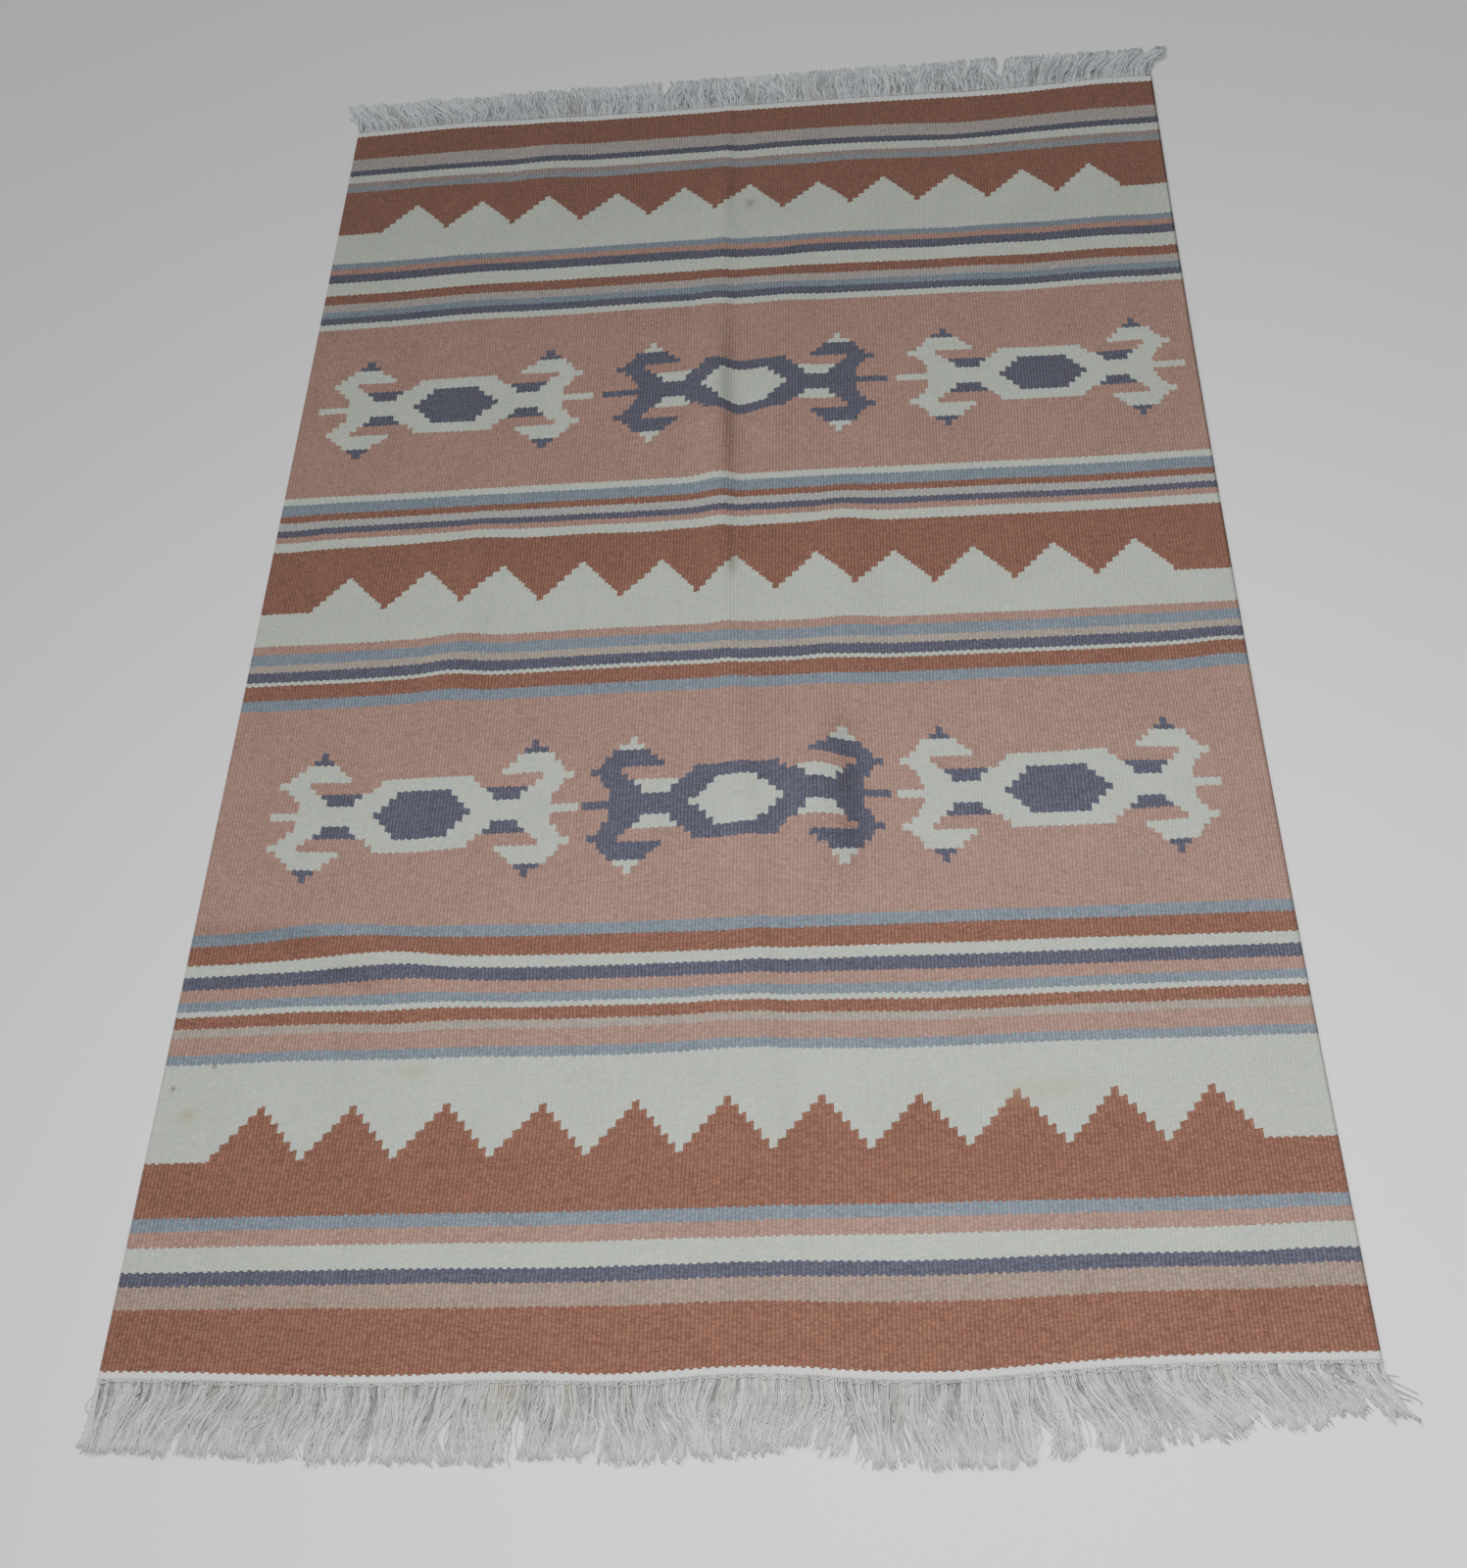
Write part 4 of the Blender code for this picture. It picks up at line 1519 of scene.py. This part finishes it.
    def map_cells(self, mesh: bpy.types.Mesh, corners: np.ndarray, count: int) -> None:
        """Give each yarn a cell of its own in the map for baking.

        Args:
            mesh: The yarns.
            corners: The place of each face corner of one yarn, around and along it.
            count: How many yarns there are.
        """
        high = math.ceil(count / self.cells_wide)
        yarn = np.arange(count)
        cell = np.stack([yarn % self.cells_wide, yarn // self.cells_wide], axis=1).astype(np.float32)
        around = corners[:, 0] - corners[:, 0].min()
        around = around / around.max()
        inner = np.stack([around, corners[:, 1]], axis=1)
        places = cell[:, None, :] + self.cell_margin + (1 - 2 * self.cell_margin) * inner[None]
        places = places / np.array([self.cells_wide, high])
        layer = mesh.uv_layers.new(name=BAKE_MAP)
        layer.data.foreach_set("uv", places.astype(np.float32).ravel())

    def build(self) -> bpy.types.Object:
        """Make the whole fringe.

        Returns:
            The dressed fringe.
        """
        rng = np.random.default_rng(self.seed)
        yarn_paths, yarn_looks = self.routes(rng)
        loop_paths, loop_looks = self.loops(rng)
        paths = np.concatenate([yarn_paths, loop_paths])
        looks = np.concatenate([yarn_looks, loop_looks])
        piece = self.sweep(paths, looks, rng)
        piece.data.materials.append(self.material)
        return piece


@dataclass
class Studio:
    """The pale floor, soft light and the camera over the rug's near end."""

    floor_size: float = 14.0
    floor_colour: tuple[float, float, float] = (0.88, 0.88, 0.88)
    camera_at: tuple[float, float, float] = (0.1885, -1.1985, 1.5497)
    camera_forward: tuple[float, float, float] = (-0.0728, 0.5089, -0.8577)
    camera_up: tuple[float, float, float] = (0.0407, 0.8607, 0.5073)
    lens_mm: float = 36.83
    shift_x: float = -0.0322
    room_colour: tuple[float, ...] = (0.95, 0.97, 1.0, 1.0)
    room_power: float = 0.13
    key_direction: tuple[float, float, float] = (0.85, -0.70, -0.80)
    key_angle_deg: float = 28.0
    key_power: float = 1.78
    overhead_at: tuple[float, float, float] = (0.24, -0.95, 1.50)
    overhead_target: tuple[float, float, float] = (0.22, -0.92, 0.0)
    overhead_size: float = 1.2
    overhead_power: float = 29.0

    def lay_floor(self) -> bpy.types.Object:
        """Lay the floor just under the rug.

        Returns:
            The floor.
        """
        deselect()
        bpy.ops.mesh.primitive_plane_add(size=self.floor_size, location=(0, 0, -0.0004))
        floor = bpy.context.object
        floor.name = "studio_floor"
        wiring = Wiring("pale_floor")
        place = wiring.node("TexCoord").outputs["Object"]
        mottle = wiring.noise(place, 3.0, 3.0)
        low = tuple(0.97 * value for value in self.floor_colour)
        colour = wiring.blend(mottle, (*low, 1.0), (*self.floor_colour, 1.0))
        wiring.plug(wiring.shader.inputs["Base Color"], colour)
        wiring.shader.inputs["Roughness"].default_value = 0.9
        floor.data.materials.append(wiring.material)
        return floor

    def hang(self, lamp: bpy.types.Light, direction: Vector) -> bpy.types.Object:
        """Add a light that shines in this direction."""
        hung = bpy.data.objects.new(lamp.name, lamp)
        bpy.context.scene.collection.objects.link(hung)
        hung.rotation_euler = direction.to_track_quat("-Z", "Y").to_euler()
        return hung

    def light(self) -> None:
        """Set the soft room light, the key light from the far left and the square light over the near end."""
        world = bpy.data.worlds.new("soft_room")
        world.use_nodes = True
        backdrop = world.node_tree.nodes["Background"]
        backdrop.inputs["Color"].default_value = self.room_colour
        backdrop.inputs["Strength"].default_value = self.room_power
        bpy.context.scene.world = world
        key = bpy.data.lights.new("key_light", "SUN")
        key.energy = self.key_power
        key.angle = math.radians(self.key_angle_deg)
        self.hang(key, Vector(self.key_direction))
        square = bpy.data.lights.new("soft_overhead", "AREA")
        square.size = self.overhead_size
        square.energy = self.overhead_power
        hung = self.hang(square, Vector(self.overhead_target) - Vector(self.overhead_at))
        hung.location = self.overhead_at

    def aim_camera(self) -> None:
        """Set the camera where the photographer stood."""
        lens = bpy.data.cameras.new("studio_camera")
        lens.lens = self.lens_mm
        lens.sensor_width = 36.0
        lens.shift_x = self.shift_x
        lens.clip_start = 0.05
        camera = bpy.data.objects.new("studio_camera", lens)
        bpy.context.scene.collection.objects.link(camera)
        forward = Vector(self.camera_forward).normalized()
        right = forward.cross(Vector(self.camera_up)).normalized()
        up = right.cross(forward).normalized()
        axes = Matrix((right, up, -forward)).transposed()
        camera.matrix_world = Matrix.Translation(self.camera_at) @ axes.to_4x4()
        bpy.context.scene.camera = camera

    def build(self) -> None:
        """Set the whole stage."""
        self.aim_camera()
        self.lay_floor()
        self.light()


def report(piece: bpy.types.Object) -> None:
    """Write a line on a finished piece.

    Args:
        piece: The piece.
    """
    size = piece.dimensions
    LOG.info("%s: %d faces, %.4f x %.4f x %.4f m", piece.name, len(piece.data.polygons), *size)


def hand_over(piece: bpy.types.Object, node: str) -> None:
    """Tie a piece to the frame.

    Args:
        piece: The finished piece.
        node: The solid that it stands for.
    """
    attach(piece, "root")
    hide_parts(node)
    report(piece)


def main() -> None:
    """Build the rug and the stage around it."""
    logging.basicConfig(level=logging.INFO, format="%(name)s: %(message)s")
    Studio().build()
    lie = Lie()
    cotton = CottonYarn().build()
    # A paler, bluer copy of the cotton yarn with less painted side shade: painted light for the dimmer far
    # fringe
    far_painted_light_yarn = CottonYarn(
        "far_yarn_painted_light", pale=(0.790, 0.850, 0.870), grey=(0.260, 0.275, 0.280), side_shade=0.85
    ).build()
    near = Fringe(End.NEAR, lie, cotton, 31, 0.003, 0.022, NEAR_SWEEPS, NEAR_YELLOWINGS).build()
    hand_over(near, "fringe_near")
    far = Fringe(End.FAR, lie, far_painted_light_yarn, 47, 0.031, 0.031, FAR_SWEEPS, FAR_YELLOWINGS).build()
    hand_over(far, "fringe_far")
    cloth = WovenCloth(lie, WovenWool()).build()
    hand_over(cloth, "woven_cloth")


if __name__ == "__main__":
    main()
